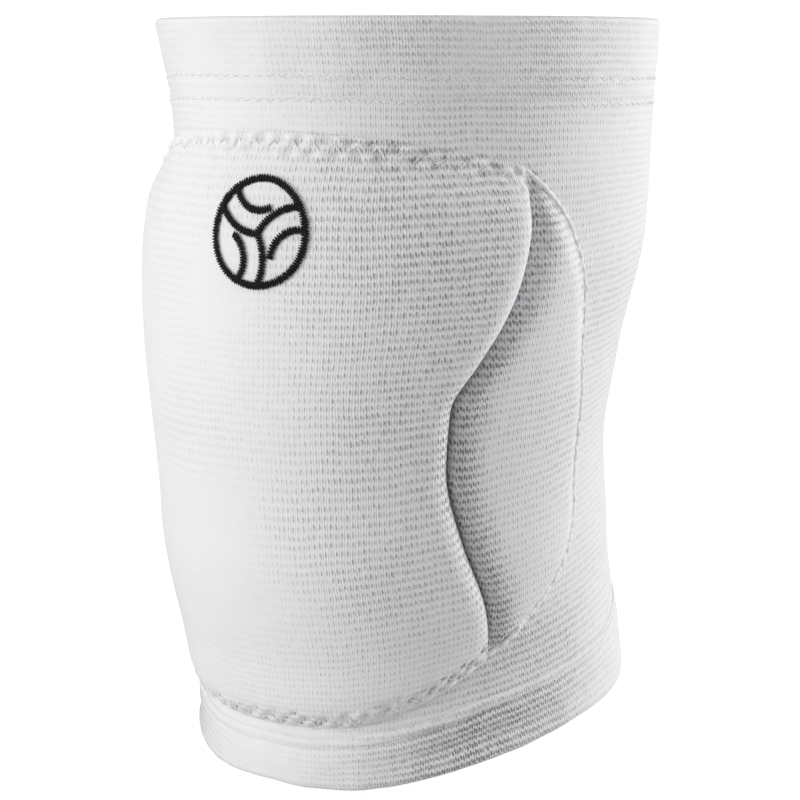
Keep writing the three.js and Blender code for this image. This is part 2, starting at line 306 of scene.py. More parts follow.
@dataclass(frozen=True)
class LegForm:
    """The leg's form under the sleeve, as a surface by turn, share of length and height."""

    length: float = 187.0
    top_width: float = 137.0
    top_depth: float = 140.0
    lean: float = 17.0
    knee_level: float = 84.0
    rim_wave: float = 4.0
    top_cuff_height: float = 20.7
    bottom_cuff_front: float = 12.0
    bottom_cuff_back: float = 19.5
    bottom_cuff_beside: float = 1.8
    under_pad_share: float = 0.9
    mean_radius: float = 60.0

    @property
    def mm_per_degree(self) -> float:
        """Length round the leg, for each degree."""
        return np.pi / 360 * self.top_width * self.under_pad_share

    @property
    def upper_cuff_line(self) -> float:
        """Where the upper cuff starts, as a share of the length."""
        return 1 - self.top_cuff_height / self.length

    def lower_cuff_line(self, turn: Points) -> Points:
        """Where the lower cuff ends.

        Args:
            turn: degrees round from the front.

        Returns:
            A share of the length at each turn.
        """
        back_share = (1 - np.cos(np.radians(turn))) / 2
        extra = (self.bottom_cuff_back - self.bottom_cuff_front) * back_share
        beside = self.bottom_cuff_beside * beside_knee(turn)
        return (self.bottom_cuff_front + extra + beside) / self.length

    def flat(self, turn: Points, at: Points) -> tuple[Points, Points]:
        """Millimetres across and along the cloth, as if it lay flat."""
        return turn * self.mm_per_degree, at * self.length

    def uneven(self, mottle: Mottle, turn: Points, at: Points) -> Points:
        """Unevenness that runs round the whole leg."""
        return mottle.at(np.radians(turn) * self.mean_radius, at * self.length)

    def cloth_map(self, turn: Points, at: Points, stretch_and_shade: Points) -> Points:
        """Places on the cloth, with its stretch, in one array."""
        return np.stack(np.broadcast_arrays(*self.flat(turn, at), stretch_and_shade), -1)

    def place(self, turn: Points, at: Points, height: Points) -> Points:
        """Points over the leg, in metres.

        Args:
            turn: degrees round from the front, positive to +X.
            at: share of the length, from the lower rim up.
            height: millimetres out from the sleeve's outer face.

        Returns:
            An array of the same shape with three more numbers at its end.
        """
        turn, at, height = np.broadcast_arrays(turn, at, height)
        width = LEG_SECTIONS.curve("width")(at) * self.top_width / 2
        depth = width * self.top_depth / self.top_width
        lean = np.radians(LEG_SECTIONS.curve("lean")(at) * self.lean)
        back = LEG_SECTIONS.curve("back")(at) * self.top_depth
        sin, cos = np.sin(np.radians(turn)), np.cos(np.radians(turn))
        out = np.hypot(sin / width, cos / depth)
        side = width * sin + sin / width / out * height
        front = depth * cos + cos / depth / out * height
        wave = self.rim_wave * RIM_WAVES.curve("rise")(off_front(turn))
        level = at * self.length - self.knee_level - front * np.sin(lean)
        rise = wave * np.maximum(1 - at, 0) ** 6
        return np.stack([side, back - front * np.cos(lean), level + rise], -1) * MM


@dataclass(frozen=True)
class Pocket:
    """The sewn pocket's seams, creases and heights over the sleeve."""

    leg: LegForm
    pad_height: float = 14.0
    side_height: float = 6.6
    cover_wall: float = 1.5
    gap: float = 0.4
    lip_radius: float = 6.0
    rise_low: float = 2.6
    rise_high: float = 9.0
    rise_ramp: Ramp = (0.45, 0.72)
    front_fall: float = 0.28
    side_roundness: float = 0.7
    least_width: float = 0.02

    @property
    def seam_height(self) -> float:
        """Height of the cover's outer face at its seams and creases."""
        return self.gap + self.cover_wall

    def panel_share(self, share: Points) -> Points:
        """A share of the way between the cuffs, as a share of the sleeve's length."""
        start = self.leg.lower_cuff_line(0.0)
        return start + (self.leg.upper_cuff_line - start) * share

    def between_cuffs(self, at: Points) -> Points:
        """A share of the sleeve's length, as a share of the way between the cuffs."""
        start = self.leg.lower_cuff_line(0.0)
        return (at - start) / (self.leg.upper_cuff_line - start)

    def front(self, across: Points, up: Points, inset: float = 0.0) -> Places:
        """Places on the front panel.

        Args:
            across: -1 to 1 between the creases.
            up: 0 to 1 between the lower and the upper seam.
            inset: how far under the outer face the surface lies.

        Returns:
            Turn, share of the length and height.
        """
        low, high = front_edges(across)
        level = low + (high - low) * up
        crease = crease_turn(level)
        from_crease = (1 - np.abs(across)) * crease * self.leg.mm_per_degree - inset
        lip = quarter_round(from_crease / self.lip_radius)
        full = (self.pad_height - self.seam_height) * (1 - self.front_fall * across**2)
        height = self.seam_height + full * crown(2 * up - 1) * lip
        return tuple(np.broadcast_arrays(across * crease, self.panel_share(level), height))

    def side(self, out: Points, up: Points, inset: float = 0.0) -> Places:
        """Places on a side panel, for the +X side.

        Args:
            out: 0 at the crease to 1 at the seam.
            up: 0 to 1 along the crease.
            inset: how far under the outer face the surface lies.

        Returns:
            Turn, share of the length and height.
        """
        crease, seam = side_edges(up)
        width = np.maximum(self.least_width, (seam - crease) * self.leg.mm_per_degree)
        opening = smooth_step(up, *self.rise_ramp)
        rise = self.rise_low + (self.rise_high - self.rise_low) * opening
        climb = quarter_round((out * width - inset) / np.minimum(rise, width / 2))
        fall = (1 - np.minimum(1, out + inset / width) ** 3) ** self.side_roundness
        full = self.side_height - self.seam_height
        height = self.seam_height + full * crown(2 * up - 1) * climb * fall
        level = CREASE_LOW + (CREASE_HIGH - CREASE_LOW) * up
        turn = crease + (seam - crease) * out
        return tuple(np.broadcast_arrays(turn, self.panel_share(level), height))


def linked(name: str, data: bpy.types.ID) -> bpy.types.Object:
    """Adds an object to the scene.

    Args:
        name: the object's name.
        data: its mesh, lamp or camera.

    Returns:
        The object.
    """
    made = bpy.data.objects.new(name, data)
    bpy.context.scene.collection.objects.link(made)
    return made


def cloth_object(
    name: str, points: Points, quads: list[tuple[int, ...]], corners: list[Points],
    finish: bpy.types.Material,
) -> bpy.types.Object:
    """A smooth piece that knows its places on the cloth.

    Args:
        name: the piece's name.
        points: its points, in metres.
        quads: the point numbers of each face.
        corners: the place on the cloth and the stretch at each face's corners.
        finish: its material.

    Returns:
        The linked object, with the cloth's UV map and its stretch attribute, which also sets the
        knit's painted shade.
    """
    mesh = bpy.data.meshes.new(name)
    mesh.from_pydata(points.tolist(), [], quads)
    cloth = np.array(corners).astype(np.float32)
    mesh.uv_layers.new(name=UV_NAME).data.foreach_set("uv", cloth[:, :2].ravel())
    stretch_and_shade = mesh.attributes.new(STRETCH_AND_SHADE_NAME, "FLOAT", "CORNER")
    stretch_and_shade.data.foreach_set("value", cloth[:, 2].copy())
    weld(mesh)
    mesh.materials.append(finish)
    return linked(name, mesh)


def weld(mesh: bpy.types.Mesh) -> None:
    """Joins doubled points, drops the faces that vanish and shades the mesh smooth.

    Args:
        mesh: the mesh, changed in place.
    """
    work = bmesh.new()
    work.from_mesh(mesh)
    bmesh.ops.remove_doubles(work, verts=work.verts, dist=WELD_DISTANCE)
    bmesh.ops.dissolve_degenerate(work, edges=work.edges, dist=WELD_DISTANCE)
    for face in work.faces:
        face.smooth = True
    work.to_mesh(mesh)
    work.free()
    mesh.set_sharp_from_angle(angle=np.radians(SHARP_ANGLE))


def shell_object(
    name: str, outer: Points, inner: Points, uv: Points, ring: bool, finish: bpy.types.Material
) -> bpy.types.Object:
    """A closed shell from two grids of points.

    Args:
        name: the piece's name.
        outer: rows by columns of points, seen from outside with columns to the right.
        inner: the same grid on the inside.
        uv: rows by columns (plus one on a ring) of places on the cloth, and its stretch.
        ring: whether the last column meets the first.
        finish: its material.

    Returns:
        The piece.
    """
    rows, columns = outer.shape[:2]
    last, step = columns - 1, columns if ring else columns - 1
    quads: list[list[tuple[int, int, int]]] = []
    for r in range(rows - 1):
        for c in range(step):
            quad = [(r, c), (r, c + 1), (r + 1, c + 1), (r + 1, c)]
            quads.append([(0, *q) for q in quad])
            quads.append([(1, *q) for q in reversed(quad)])
    for c in range(step):
        for r, near, far in ((0, 1, 0), (rows - 1, 0, 1)):
            quads.append([(near, r, c), (near, r, c + 1), (far, r, c + 1), (far, r, c)])
    for r in range(0 if ring else rows - 1):
        quads.append([(0, r, 0), (0, r + 1, 0), (1, r + 1, 0), (1, r, 0)])
        quads.append([(0, r + 1, last), (0, r, last), (1, r, last), (1, r + 1, last)])
    faces = [
        tuple((layer * rows + r) * columns + c % columns for layer, r, c in quad) for quad in quads
    ]
    corners = [uv[r, c] for quad in quads for _, r, c in quad]
    points = np.concatenate([outer.reshape(-1, 3), inner.reshape(-1, 3)])
    return cloth_object(name, points, faces, corners, finish)


def tube_object(
    name: str, loop: Points, uv: Points, flip: bool, finish: bpy.types.Material
) -> bpy.types.Object:
    """A ring from a closed section's points.

    Args:
        name: the piece's name.
        loop: section rows by columns round the leg.
        uv: the same rows and one more column of places on the cloth, and its stretch.
        flip: whether the section runs the other way round.
        finish: its material.

    Returns:
        The piece.
    """
    rows, columns = loop.shape[:2]
    faces, corners = [], []
    for r in range(rows):
        for c in range(columns):
            quad = [(r, c), (r, c + 1), (r + 1, c + 1), (r + 1, c)]
            ordered = quad[::-1] if flip else quad
            faces.append(tuple((i % rows) * columns + j % columns for i, j in ordered))
            corners.extend(uv[i % rows, j] for i, j in ordered)
    return cloth_object(name, loop.reshape(-1, 3), faces, corners, finish)


class Wires:
    """Adds and links nodes of a tree in few words."""

    def __init__(self, tree: bpy.types.NodeTree) -> None:
        """Keeps the tree."""
        self.tree = tree

    def node(
        self, kind: str, settings: dict[str, object] | None = None, **sockets: object
    ) -> bpy.types.Node:
        """Adds a node.

        Args:
            kind: the node's type name.
            settings: its own properties.
            sockets: input values or links by socket name, with _ for a space.

        Returns:
            The node.
        """
        made = self.tree.nodes.new(kind)
        for key, value in (settings or {}).items():
            setattr(made, key, value)
        self.fill(made, **sockets)
        return made

    def fill(self, node: bpy.types.Node, **sockets: object) -> None:
        """Sets or links a node's inputs by name, with _ for a space."""
        for key, value in sockets.items():
            self.feed(node.inputs[key.replace("_", " ")], value)

    def feed(self, socket: Socket, value: object) -> None:
        """Links an output to a socket, or sets its value.

        Args:
            socket: the input.
            value: another node's output, or a plain value.
        """
        if isinstance(value, Socket):
            self.tree.links.new(value, socket)
        else:
            socket.default_value = value

    def math(self, operation: str, *values: object, clamp: bool = False) -> Socket:
        """Adds a math node.

        Args:
            operation: its operation's name.
            values: one to three numbers or links.
            clamp: whether the result stays from 0 to 1.

        Returns:
            Its output.
        """
        made = self.tree.nodes.new("ShaderNodeMath")
        made.operation = operation
        made.use_clamp = clamp
        for socket, value in zip(made.inputs, values):
            self.feed(socket, value)
        return made.outputs[0]

    def noise(self, place: Socket, scale: object, detail: float) -> bpy.types.Node:
        """A noise texture at a place."""
        return self.node("ShaderNodeTexNoise", Vector=place, Scale=scale, Detail=detail)

    def group(self, tree: bpy.types.NodeTree, **sockets: object) -> bpy.types.NodeOutputs:
        """The outputs of a placed shader group."""
        return self.node("ShaderNodeGroup", {"node_tree": tree}, **sockets).outputs

    def blend(self, share: Socket, first: Colour, second: Colour) -> Socket:
        """Adds a mix of two colours.

        Args:
            share: how much of the second colour shows.
            first: red, green and blue.
            second: red, green and blue.

        Returns:
            The mixed colour.
        """
        made = self.node("ShaderNodeMix", {"data_type": "RGBA"})
        self.feed(made.inputs[MIX_SHARE], share)
        self.feed(made.inputs[MIX_FIRST], (*first, 1))
        self.feed(made.inputs[MIX_SECOND], (*second, 1))
        return made.outputs[MIX_RESULT]

    def bump(self, height: Socket, strength: float, rise: float, **more: Socket) -> Socket:
        """The normal of a bump whose rise is in millimetres."""
        sizes = {"Strength": strength, "Distance": rise * MM}
        return self.node("ShaderNodeBump", Height=height, **sizes, **more).outputs[0]


def new_group(
    name: str, takes: dict[str, float], gives: list[str]
) -> tuple[Wires, dict[str, Socket], bpy.types.Node]:
    """An empty shader group with named float sockets.

    Args:
        name: the group's name.
        takes: input names and their usual values.
        gives: output names.

    Returns:
        Its wires, its inputs by name and its output node.
    """
    tree = bpy.data.node_groups.new(name, "ShaderNodeTree")
    for title, value in takes.items():
        socket = tree.interface.new_socket(title, in_out="INPUT", socket_type="NodeSocketFloat")
        socket.default_value = value
    for title in gives:
        tree.interface.new_socket(title, in_out="OUTPUT", socket_type="NodeSocketFloat")
    inputs = tree.nodes.new("NodeGroupInput")
    outputs = tree.nodes.new("NodeGroupOutput")
    return Wires(tree), {title: inputs.outputs[title] for title in takes}, outputs


@dataclass(frozen=True)
class Stockinette:
    """The knit's loops, two slanted legs a stitch with pits between, in stitches and rows.

    Each of the swings, which make the rows wander, has a scale, a detail and how far it
    moves the pattern across and along.
    """

    pit_width: float = 0.19
    pit_height: float = 0.4
    pit_slant: float = 0.22
    between_at: tuple[float, float] = (0.5, 0.22)
    between: float = 0.55
    groove: float = 0.3
    groove_middle: float = 0.45
    groove_reach: float = 0.3
    legs: float = 0.2
    leg_from: float = 0.17
    leg_spread: float = 0.16
    leg_reach: float = 0.22
    uneven: float = 0.6
    swings: tuple[tuple[float, float, float, float], ...] = (
        (0.09, 2.0, 1.2, 0.8),
        (0.8, 1.0, 0.34, 0.28),
        (3.0, 1.0, 0.35, 0.45),
    )

    def _pits(
        self, wires: Wires, wale: Socket, course: Socket, takes: dict[str, Socket], dark: object
    ) -> Socket:
        """One pit a stitch, long and slightly slanted, each of its own depth.

        Args:
            wires: the knit group's wires.
            wale: columns of stitches, with a pit in the middle of each.
            course: rows of stitches, with a pit in the middle of each.
            takes: the group's inputs by name.
            dark: how dark these pits are.

        Returns:
            The mask.
        """
        math = wires.math
        across = math("SUBTRACT", math("FRACT", wale), 0.5)
        along = math("SUBTRACT", math("FRACT", course), 0.5)
        slanted = math("ADD", across, math("MULTIPLY", along, self.pit_slant))
        wide = math("DIVIDE", slanted, takes["Pit Width"])
        tall = math("DIVIDE", along, takes["Pit Height"])
        reach = math("ADD", math("MULTIPLY", wide, wide), math("MULTIPLY", tall, tall))
        stitch = wires.node("ShaderNodeCombineXYZ", X=math("FLOOR", wale), Y=math("FLOOR", course))
        plane = {"noise_dimensions": "2D"}
        chance = wires.node("ShaderNodeTexWhiteNoise", plane, Vector=stitch.outputs[0])
        less = math("MULTIPLY", chance.outputs["Value"], takes["Uneven"])
        round_pit = math("SUBTRACT", 1.0, reach, clamp=True)
        mask = math("MULTIPLY", round_pit, math("SUBTRACT", 1.0, less))
        return math("MULTIPLY", mask, dark)

    def group(self) -> bpy.types.NodeTree:
        """Builds the shader group.

        Returns:
            A group that takes wales and courses and gives Height and Pit.
        """
        takes = {
            "Wales": 0.0,
            "Courses": 0.0,
            "Pit Width": self.pit_width,
            "Pit Height": self.pit_height,
            "Between": self.between,
            "Groove": self.groove,
            "Legs": self.legs,
            "Uneven": self.uneven,
        }
        wires, at, out = new_group("stockinette", takes, ["Height", "Pit"])
        math = wires.math
        wale, course = at["Wales"], at["Courses"]
        place = wires.node("ShaderNodeCombineXYZ", X=wale, Y=course).outputs[0]
        for scale, detail, sideways, upwards in self.swings:
            noise = wires.noise(place, scale, detail).outputs["Color"]
            ragged = wires.node("ShaderNodeSeparateXYZ", Vector=noise).outputs
            wale = math("ADD", wale, math("MULTIPLY", ragged[0], sideways))
            course = math("ADD", course, math("MULTIPLY", ragged[1], upwards))
        rows = self._pits(wires, wale, course, at, 1.0)
        shifted = [math("ADD", part, by) for part, by in zip((wale, course), self.between_at)]
        between = self._pits(wires, *shifted, at, at["Between"])
        off_row = math("SUBTRACT", math("FRACT", course), self.groove_middle)
        from_row = math("DIVIDE", off_row, self.groove_reach)
        row = math("SUBTRACT", 1.0, math("MULTIPLY", from_row, from_row), clamp=True)
        groove = math("MULTIPLY", row, at["Groove"])
        pit = math("ADD", math("MAXIMUM", rows, between), groove, clamp=True)
        across = math("ABSOLUTE", math("SUBTRACT", math("FRACT", wale), 0.5))
        up = math("FRACT", math("ADD", course, 0.5))
        leg = math("ADD", self.leg_from, math("MULTIPLY", up, self.leg_spread))
        off = math("DIVIDE", math("SUBTRACT", across, leg), self.leg_reach)
        ridge = math("SUBTRACT", 1.0, math("MULTIPLY", off, off), clamp=True)
        tall = math("MULTIPLY", at["Legs"], 2.0)
        legs = math("MULTIPLY", math("MULTIPLY", ridge, ragged[2]), tall)
        wires.fill(out, Pit=pit, Height=math("SUBTRACT", legs, pit))
        return wires.tree


@dataclass(frozen=True)
class Fuzz:
    """Fine fibres and soft unevenness of tone, by Object coordinates."""

    fibre_scale: float = 2600.0
    fibre_detail: float = 2.0
    tone_scale: float = 70.0
    tone_detail: float = 3.0

    def group(self) -> bpy.types.NodeTree:
        """Builds the shader group.

        Returns:
            A group that takes Fineness and gives Height and Tone.
        """
        wires, at, out = new_group("fuzz", {"Fineness": 1.0}, ["Height", "Tone"])
        place = wires.node("ShaderNodeTexCoord").outputs["Object"]
        fibres = wires.math("MULTIPLY", at["Fineness"], self.fibre_scale)
        broad = wires.math("MULTIPLY", at["Fineness"], self.tone_scale)
        fine = wires.noise(place, fibres, self.fibre_detail).outputs[0]
        wires.fill(out, Height=fine, Tone=wires.noise(place, broad, self.tone_detail).outputs[0])
        return wires.tree


@dataclass(frozen=True)
class Groups:
    """The shader groups that the finishes share."""

    knit: bpy.types.NodeTree
    fuzz: bpy.types.NodeTree


def bare_material(name: str) -> tuple[bpy.types.Material, Wires, bpy.types.Node]:
    """A node material to be filled.

    Args:
        name: the material's name.

    Returns:
        The material, its wires and its shader.
    """
    material = bpy.data.materials.new(name)
    material.use_nodes = True
    wires = Wires(material.node_tree)
    return material, wires, material.node_tree.nodes["Principled BSDF"]


@dataclass(frozen=True)
class KnitFinish:
    """White stockinette, by the cloth's own UV map in millimetres."""

    name: str
    wale: float = 1.23
    course: float = 1.98
    white: Colour = (0.855, 0.853, 0.87)
    shade: Colour = (0.3, 0.3, 0.31)
    pit_shade: float = 0.66
    between: float = 0.42
    groove: float = 0.13
    relief: float = 0.34
    least_relief: float = 0.06
    open_relief: float = 0.85
    worn: float = 0.06
    fibre_strength: float = 0.5
    fibre_rise: float = 0.14
    roughness: float = 0.92
    specular: float = 0.25
    sheen: float = 0.15
    sheen_roughness: float = 0.6

    def material(self, groups: Groups) -> bpy.types.Material:
        """Builds the material, with painted shade in its pits, darker and deeper where stretched.

        Args:
            groups: the shared shader groups.

        Returns:
            The material.
        """
        material, wires, shader = bare_material(self.name)
        math = wires.math
        place = wires.node("ShaderNodeUVMap", {"uv_map": UV_NAME}).outputs[0]
        flat = wires.node("ShaderNodeSeparateXYZ", Vector=place).outputs
        stretch_and_shade = wires.node("ShaderNodeAttribute", {"attribute_name": STRETCH_AND_SHADE_NAME}).outputs["Fac"]
        knit = wires.group(
            groups.knit,
            Wales=math("DIVIDE", flat[0], self.wale),
            Courses=math("DIVIDE", flat[1], self.course),
            Between=math("MULTIPLY", stretch_and_shade, self.between, clamp=True),
            Groove=self.groove,
        )
        fuzz = wires.group(groups.fuzz)
        # Painted shade: the pit, between-pit and row-groove mask mixes the knit towards the dark
        # shade colour, more where the stretch value is higher; the fuzz tone adds random
        # unevenness.
        dark = math("MULTIPLY", knit["Pit"], math("MULTIPLY", stretch_and_shade, self.pit_shade))
        shaded = math("ADD", dark, math("MULTIPLY", fuzz["Tone"], self.worn), clamp=True)
        open_knit = math("ADD", self.least_relief, math("MULTIPLY", stretch_and_shade, self.open_relief))
        loops = wires.bump(math("MULTIPLY", knit["Height"], open_knit), 1.0, self.relief)
        wires.fill(
            shader,
            Base_Color=wires.blend(shaded, self.white, self.shade),
            Normal=wires.bump(fuzz["Height"], self.fibre_strength, self.fibre_rise, Normal=loops),
            Roughness=self.roughness,
            Specular_IOR_Level=self.specular,
            Sheen_Weight=self.sheen,
            Sheen_Roughness=self.sheen_roughness,
        )
        return material


@dataclass(frozen=True)
class ThreadFinish:
    """Spun thread of one colour."""

    name: str
    colour: Colour
    roughness: float = 0.6
    sheen: float = 0.1
    specular: float = 0.25
    darker: float = 0.86
    twist_strength: float = 0.4
    twist_rise: float = 0.08

    def material(self, groups: Groups) -> bpy.types.Material:
        """Builds the material.

        Args:
            groups: the shared shader groups.

        Returns:
            The material.
        """
        material, wires, shader = bare_material(self.name)
        fuzz = wires.group(groups.fuzz)
        dim = tuple(self.darker * part for part in self.colour)
        wires.fill(
            shader,
            Base_Color=wires.blend(fuzz["Tone"], self.colour, dim),
            Normal=wires.bump(fuzz["Height"], self.twist_strength, self.twist_rise),
            Roughness=self.roughness,
            Specular_IOR_Level=self.specular,
            Sheen_Weight=self.sheen,
        )
        return material


@dataclass(frozen=True)
class FoamFinish:
    """Cream closed-cell foam, with its cells by Object coordinates."""

    name: str = "closed_cell_foam"
    colour: Colour = (0.74, 0.7, 0.62)
    darker: float = 0.8
    cells: float = 900.0
    cell_strength: float = 0.5
    cell_rise: float = 0.2
    roughness: float = 0.85

    def material(self, groups: Groups) -> bpy.types.Material:
        """Builds the material.

        Args:
            groups: the shared shader groups.

        Returns:
            The material.
        """
        material, wires, shader = bare_material(self.name)
        place = wires.node("ShaderNodeTexCoord").outputs["Object"]
        cells = wires.node("ShaderNodeTexVoronoi", Vector=place, Scale=self.cells).outputs
        dim = tuple(self.darker * part for part in self.colour)
        wires.fill(
            shader,
            Base_Color=wires.blend(wires.group(groups.fuzz)["Tone"], self.colour, dim),
            Normal=wires.bump(cells["Distance"], self.cell_strength, self.cell_rise),
            Roughness=self.roughness,
        )
        return material


@dataclass(frozen=True)
class Stitch:
    """A stitch's sizes, in millimetres and degrees, and its thread."""

    thread: bpy.types.Material
    spacing: float
    length: float
    radius: float
    lean: float
    uneven: float

    def numbers(self) -> dict[str, float]:
        """The sizes for the stitch tree.

        Returns:
            Metres and radians by the tree's input names.
        """
        return {
            "Spacing": self.spacing * MM,
            "Length": self.length * MM,
            "Radius": self.radius * MM,
            "Lean": float(np.radians(self.lean)),
            "Uneven": float(np.radians(self.uneven)),
        }


class StitchTree:
    """Geometry Nodes that lay stitches along a path on the cloth."""

    NUMBERS = {"Spacing": 0.003, "Length": 0.003, "Radius": 0.0002, "Lean": 0.5, "Uneven": 0.1}
    SEED = 7
    SEGMENTS = 8
    RINGS = 6

    def __init__(self) -> None:
        """Builds the tree once, for every seam."""
        self.tree = bpy.data.node_groups.new("stitches", "GeometryNodeTree")
        face = self.tree.interface
        face.new_socket("Path", in_out="INPUT", socket_type="NodeSocketGeometry")
        self.sockets: dict[str, str] = {}
        for title, value in self.NUMBERS.items():
            socket = face.new_socket(title, in_out="INPUT", socket_type="NodeSocketFloat")
            socket.default_value = value
            self.sockets[title] = socket.identifier
        socket = face.new_socket("Thread", in_out="INPUT", socket_type="NodeSocketMaterial")
        self.sockets["Thread"] = socket.identifier
        face.new_socket("Stitches", in_out="OUTPUT", socket_type="NodeSocketGeometry")
        wires = Wires(self.tree)
        at = self.tree.nodes.new("NodeGroupInput").outputs
        out = self.tree.nodes.new("NodeGroupOutput")
        line = wires.node("GeometryNodeMeshToCurve", Mesh=at["Path"]).outputs[0]
        to_points = {"mode": "LENGTH"}
        dots = wires.node("GeometryNodeCurveToPoints", to_points, Curve=line, Length=at["Spacing"])
        thread = wires.node(
            "GeometryNodeMeshUVSphere", Segments=self.SEGMENTS, Rings=self.RINGS, Radius=1.0
        )
        half = wires.math("MULTIPLY", at["Length"], 0.5)
        size = wires.node("ShaderNodeCombineXYZ", X=half, Y=at["Radius"], Z=at["Radius"])
        laid = wires.node(
            "GeometryNodeInstanceOnPoints",
            Points=dots.outputs[0],
            Instance=thread.outputs[0],
            Rotation=self._leaning(wires, at, dots.outputs["Tangent"]),
            Scale=size.outputs[0],
        )
        real = wires.node("GeometryNodeRealizeInstances", Geometry=laid.outputs[0]).outputs[0]
        dressed = wires.node("GeometryNodeSetMaterial", Geometry=real, Material=at["Thread"])
        wires.fill(out, Stitches=dressed.outputs[0])

    def _leaning(self, wires: Wires, at: bpy.types.NodeOutputs, tangent: Socket) -> Socket:
        """How each stitch lies: flat on the cloth and leaning to one side, then the other.

        Args:
            wires: the tree's wires.
            at: the tree's inputs.
            tangent: the path's direction at each stitch.

        Returns:
            The stitches' rotation.
        """
        vector = {"data_type": "FLOAT_VECTOR"}
        normal = wires.node("GeometryNodeInputNamedAttribute", vector, Name=NORMAL_NAME)
        axes = {"primary_axis": "Z", "secondary_axis": "X"}
        facing = wires.node("FunctionNodeAxesToRotation", axes)
        wires.feed(facing.inputs[0], normal.outputs[0])
        wires.feed(facing.inputs[1], tangent)
        odd = wires.math("MODULO", wires.node("GeometryNodeInputIndex").outputs[0], 2.0)
        turn = wires.math("SUBTRACT", wires.math("MULTIPLY", odd, 2.0), 1.0)
        chance = wires.node("FunctionNodeRandomValue", {"data_type": "FLOAT"}, Seed=self.SEED)
        low, high = [s for s in chance.inputs if s.name in ("Min", "Max") and s.type == "VALUE"]
        wires.feed(low, wires.math("MULTIPLY", at["Uneven"], -1.0))
        wires.feed(high, at["Uneven"])
        luck = next(s for s in chance.outputs if s.type == "VALUE")
        angle = wires.math("ADD", wires.math("MULTIPLY", at["Lean"], turn), luck)
        spin = wires.node("ShaderNodeCombineXYZ", Z=angle).outputs[0]
        spun = wires.node("FunctionNodeEulerToRotation", Euler=spin)
        leaning = wires.node("FunctionNodeRotateRotation", {"rotation_space": "LOCAL"})
        wires.feed(leaning.inputs[0], facing.outputs[0])
        wires.feed(leaning.inputs[1], spun.outputs[0])
        return leaning.outputs[0]

    def sew(self, name: str, paths: list[SeamPath], stitch: Stitch) -> bpy.types.Object:
        """Lays stitches along paths.

        Args:
            name: the piece's name.
            paths: points and outward directions of each path, in metres.
            stitch: the stitch's sizes and thread.

        Returns:
            One plain mesh of all the stitches.
        """
        mesh = bpy.data.meshes.new(name)
        lengths = [len(points) for points, _ in paths]
        starts = np.concatenate([[0], np.cumsum(lengths)[:-1]])
        edges = [(s + i, s + i + 1) for s, n in zip(starts, lengths) for i in range(n - 1)]
        mesh.from_pydata(np.concatenate([points for points, _ in paths]).tolist(), edges, [])
        outward = np.concatenate([out for _, out in paths]).astype(np.float32)
        layer = mesh.attributes.new(NORMAL_NAME, "FLOAT_VECTOR", "POINT")
        layer.data.foreach_set("vector", outward.ravel())
        piece = linked(name, mesh)
        nodes = piece.modifiers.new("stitches", "NODES")
        nodes.node_group = self.tree
        for title, value in {**stitch.numbers(), "Thread": stitch.thread}.items():
            nodes[self.sockets[title]] = value
        return bake(piece)


def bake(piece: bpy.types.Object) -> bpy.types.Object:
    """Turns a piece's modifiers into its plain mesh, shaded smooth.

    Args:
        piece: the piece, changed in place.

    Returns:
        The same piece.
    """
    graph = bpy.context.evaluated_depsgraph_get()
    mesh = bpy.data.meshes.new_from_object(piece.evaluated_get(graph), depsgraph=graph)
    piece.modifiers.clear()
    piece.data = mesh
    mesh.polygons.foreach_set("use_smooth", np.ones(len(mesh.polygons), bool))
    return piece


def path_on(
    leg: LegForm, turn: Points, at: Points, height: Points, lift: float
) -> SeamPath:
    """A path laid on the cloth, with its outward directions.

    Args:
        leg: the form that the cloth follows.
        turn: degrees round from the front.
        at: share of the length.
        height: the cloth's height there.
        lift: how far over the cloth the path runs.

    Returns:
        Points and unit directions.
    """
    points = leg.place(turn, at, height + lift)
    out = leg.place(turn, at, height + lift + 1.0) - points
    return points, out / np.linalg.norm(out, axis=-1, keepdims=True)


@dataclass
class Sleeve:
    """The knitted tube between the cuffs.

    The knit is pulled open where the leg is widest: beside the knee and over the calf, and its pits
    carry painted shade there and everywhere but the left of the front.
    """

    leg: LegForm
    wall: float = 2.0
    gap: float = 0.03
    columns: int = 280
    rows: int = 110
    closed: float = 0.14
    opening: float = 0.4
    beside: float = 0.5
    calf: float = 0.8
    calf_level: float = 27.0
    calf_tall: float = 15.0
    calf_turn: float = 80.0
    calf_wide: float = 24.0
    even: float = 0.7
    patches: Mottle = Mottle(0.3, 22.0, 11)

    def build(self, finish: bpy.types.Material) -> bpy.types.Object:
        """Builds and dresses the tube.

        Args:
            finish: the knit's material.

        Returns:
            The piece.
        """
        leg = self.leg
        turn = np.linspace(-180, 180, self.columns + 1)
        low = leg.lower_cuff_line(turn) + self.gap / leg.length
        high = leg.upper_cuff_line - self.gap / leg.length
        at = low + (high - low) * np.linspace(0, 1, self.rows + 1)[:, None]
        turns = np.broadcast_to(turn, at.shape)
        outer, inner = (leg.place(turns, at, height)[:, :-1] for height in (0.0, -self.wall))
        # Painted shade: the stretch value darkens the knit's pits, so it is raised low on the sides
        # under the pad, beside the knee and everywhere but the left of the front, which faces the
        # left lamp; it also deepens the knit's relief.
        up = (at * leg.length - self.calf_level) / self.calf_tall
        calf = np.exp(-(up**2) - ((np.abs(turns) - self.calf_turn) / self.calf_wide) ** 2)
        pulled = self.closed + self.opening * opened(turns) + self.beside * beside_knee(turns)
        patchy = self.even + leg.uneven(self.patches, turns, at)
        stretch_and_shade = (pulled + self.calf * calf) * patchy
        uv = leg.cloth_map(turns, at, stretch_and_shade)
        return shell_object("knit_sleeve_cloth", outer, inner, uv, True, finish)


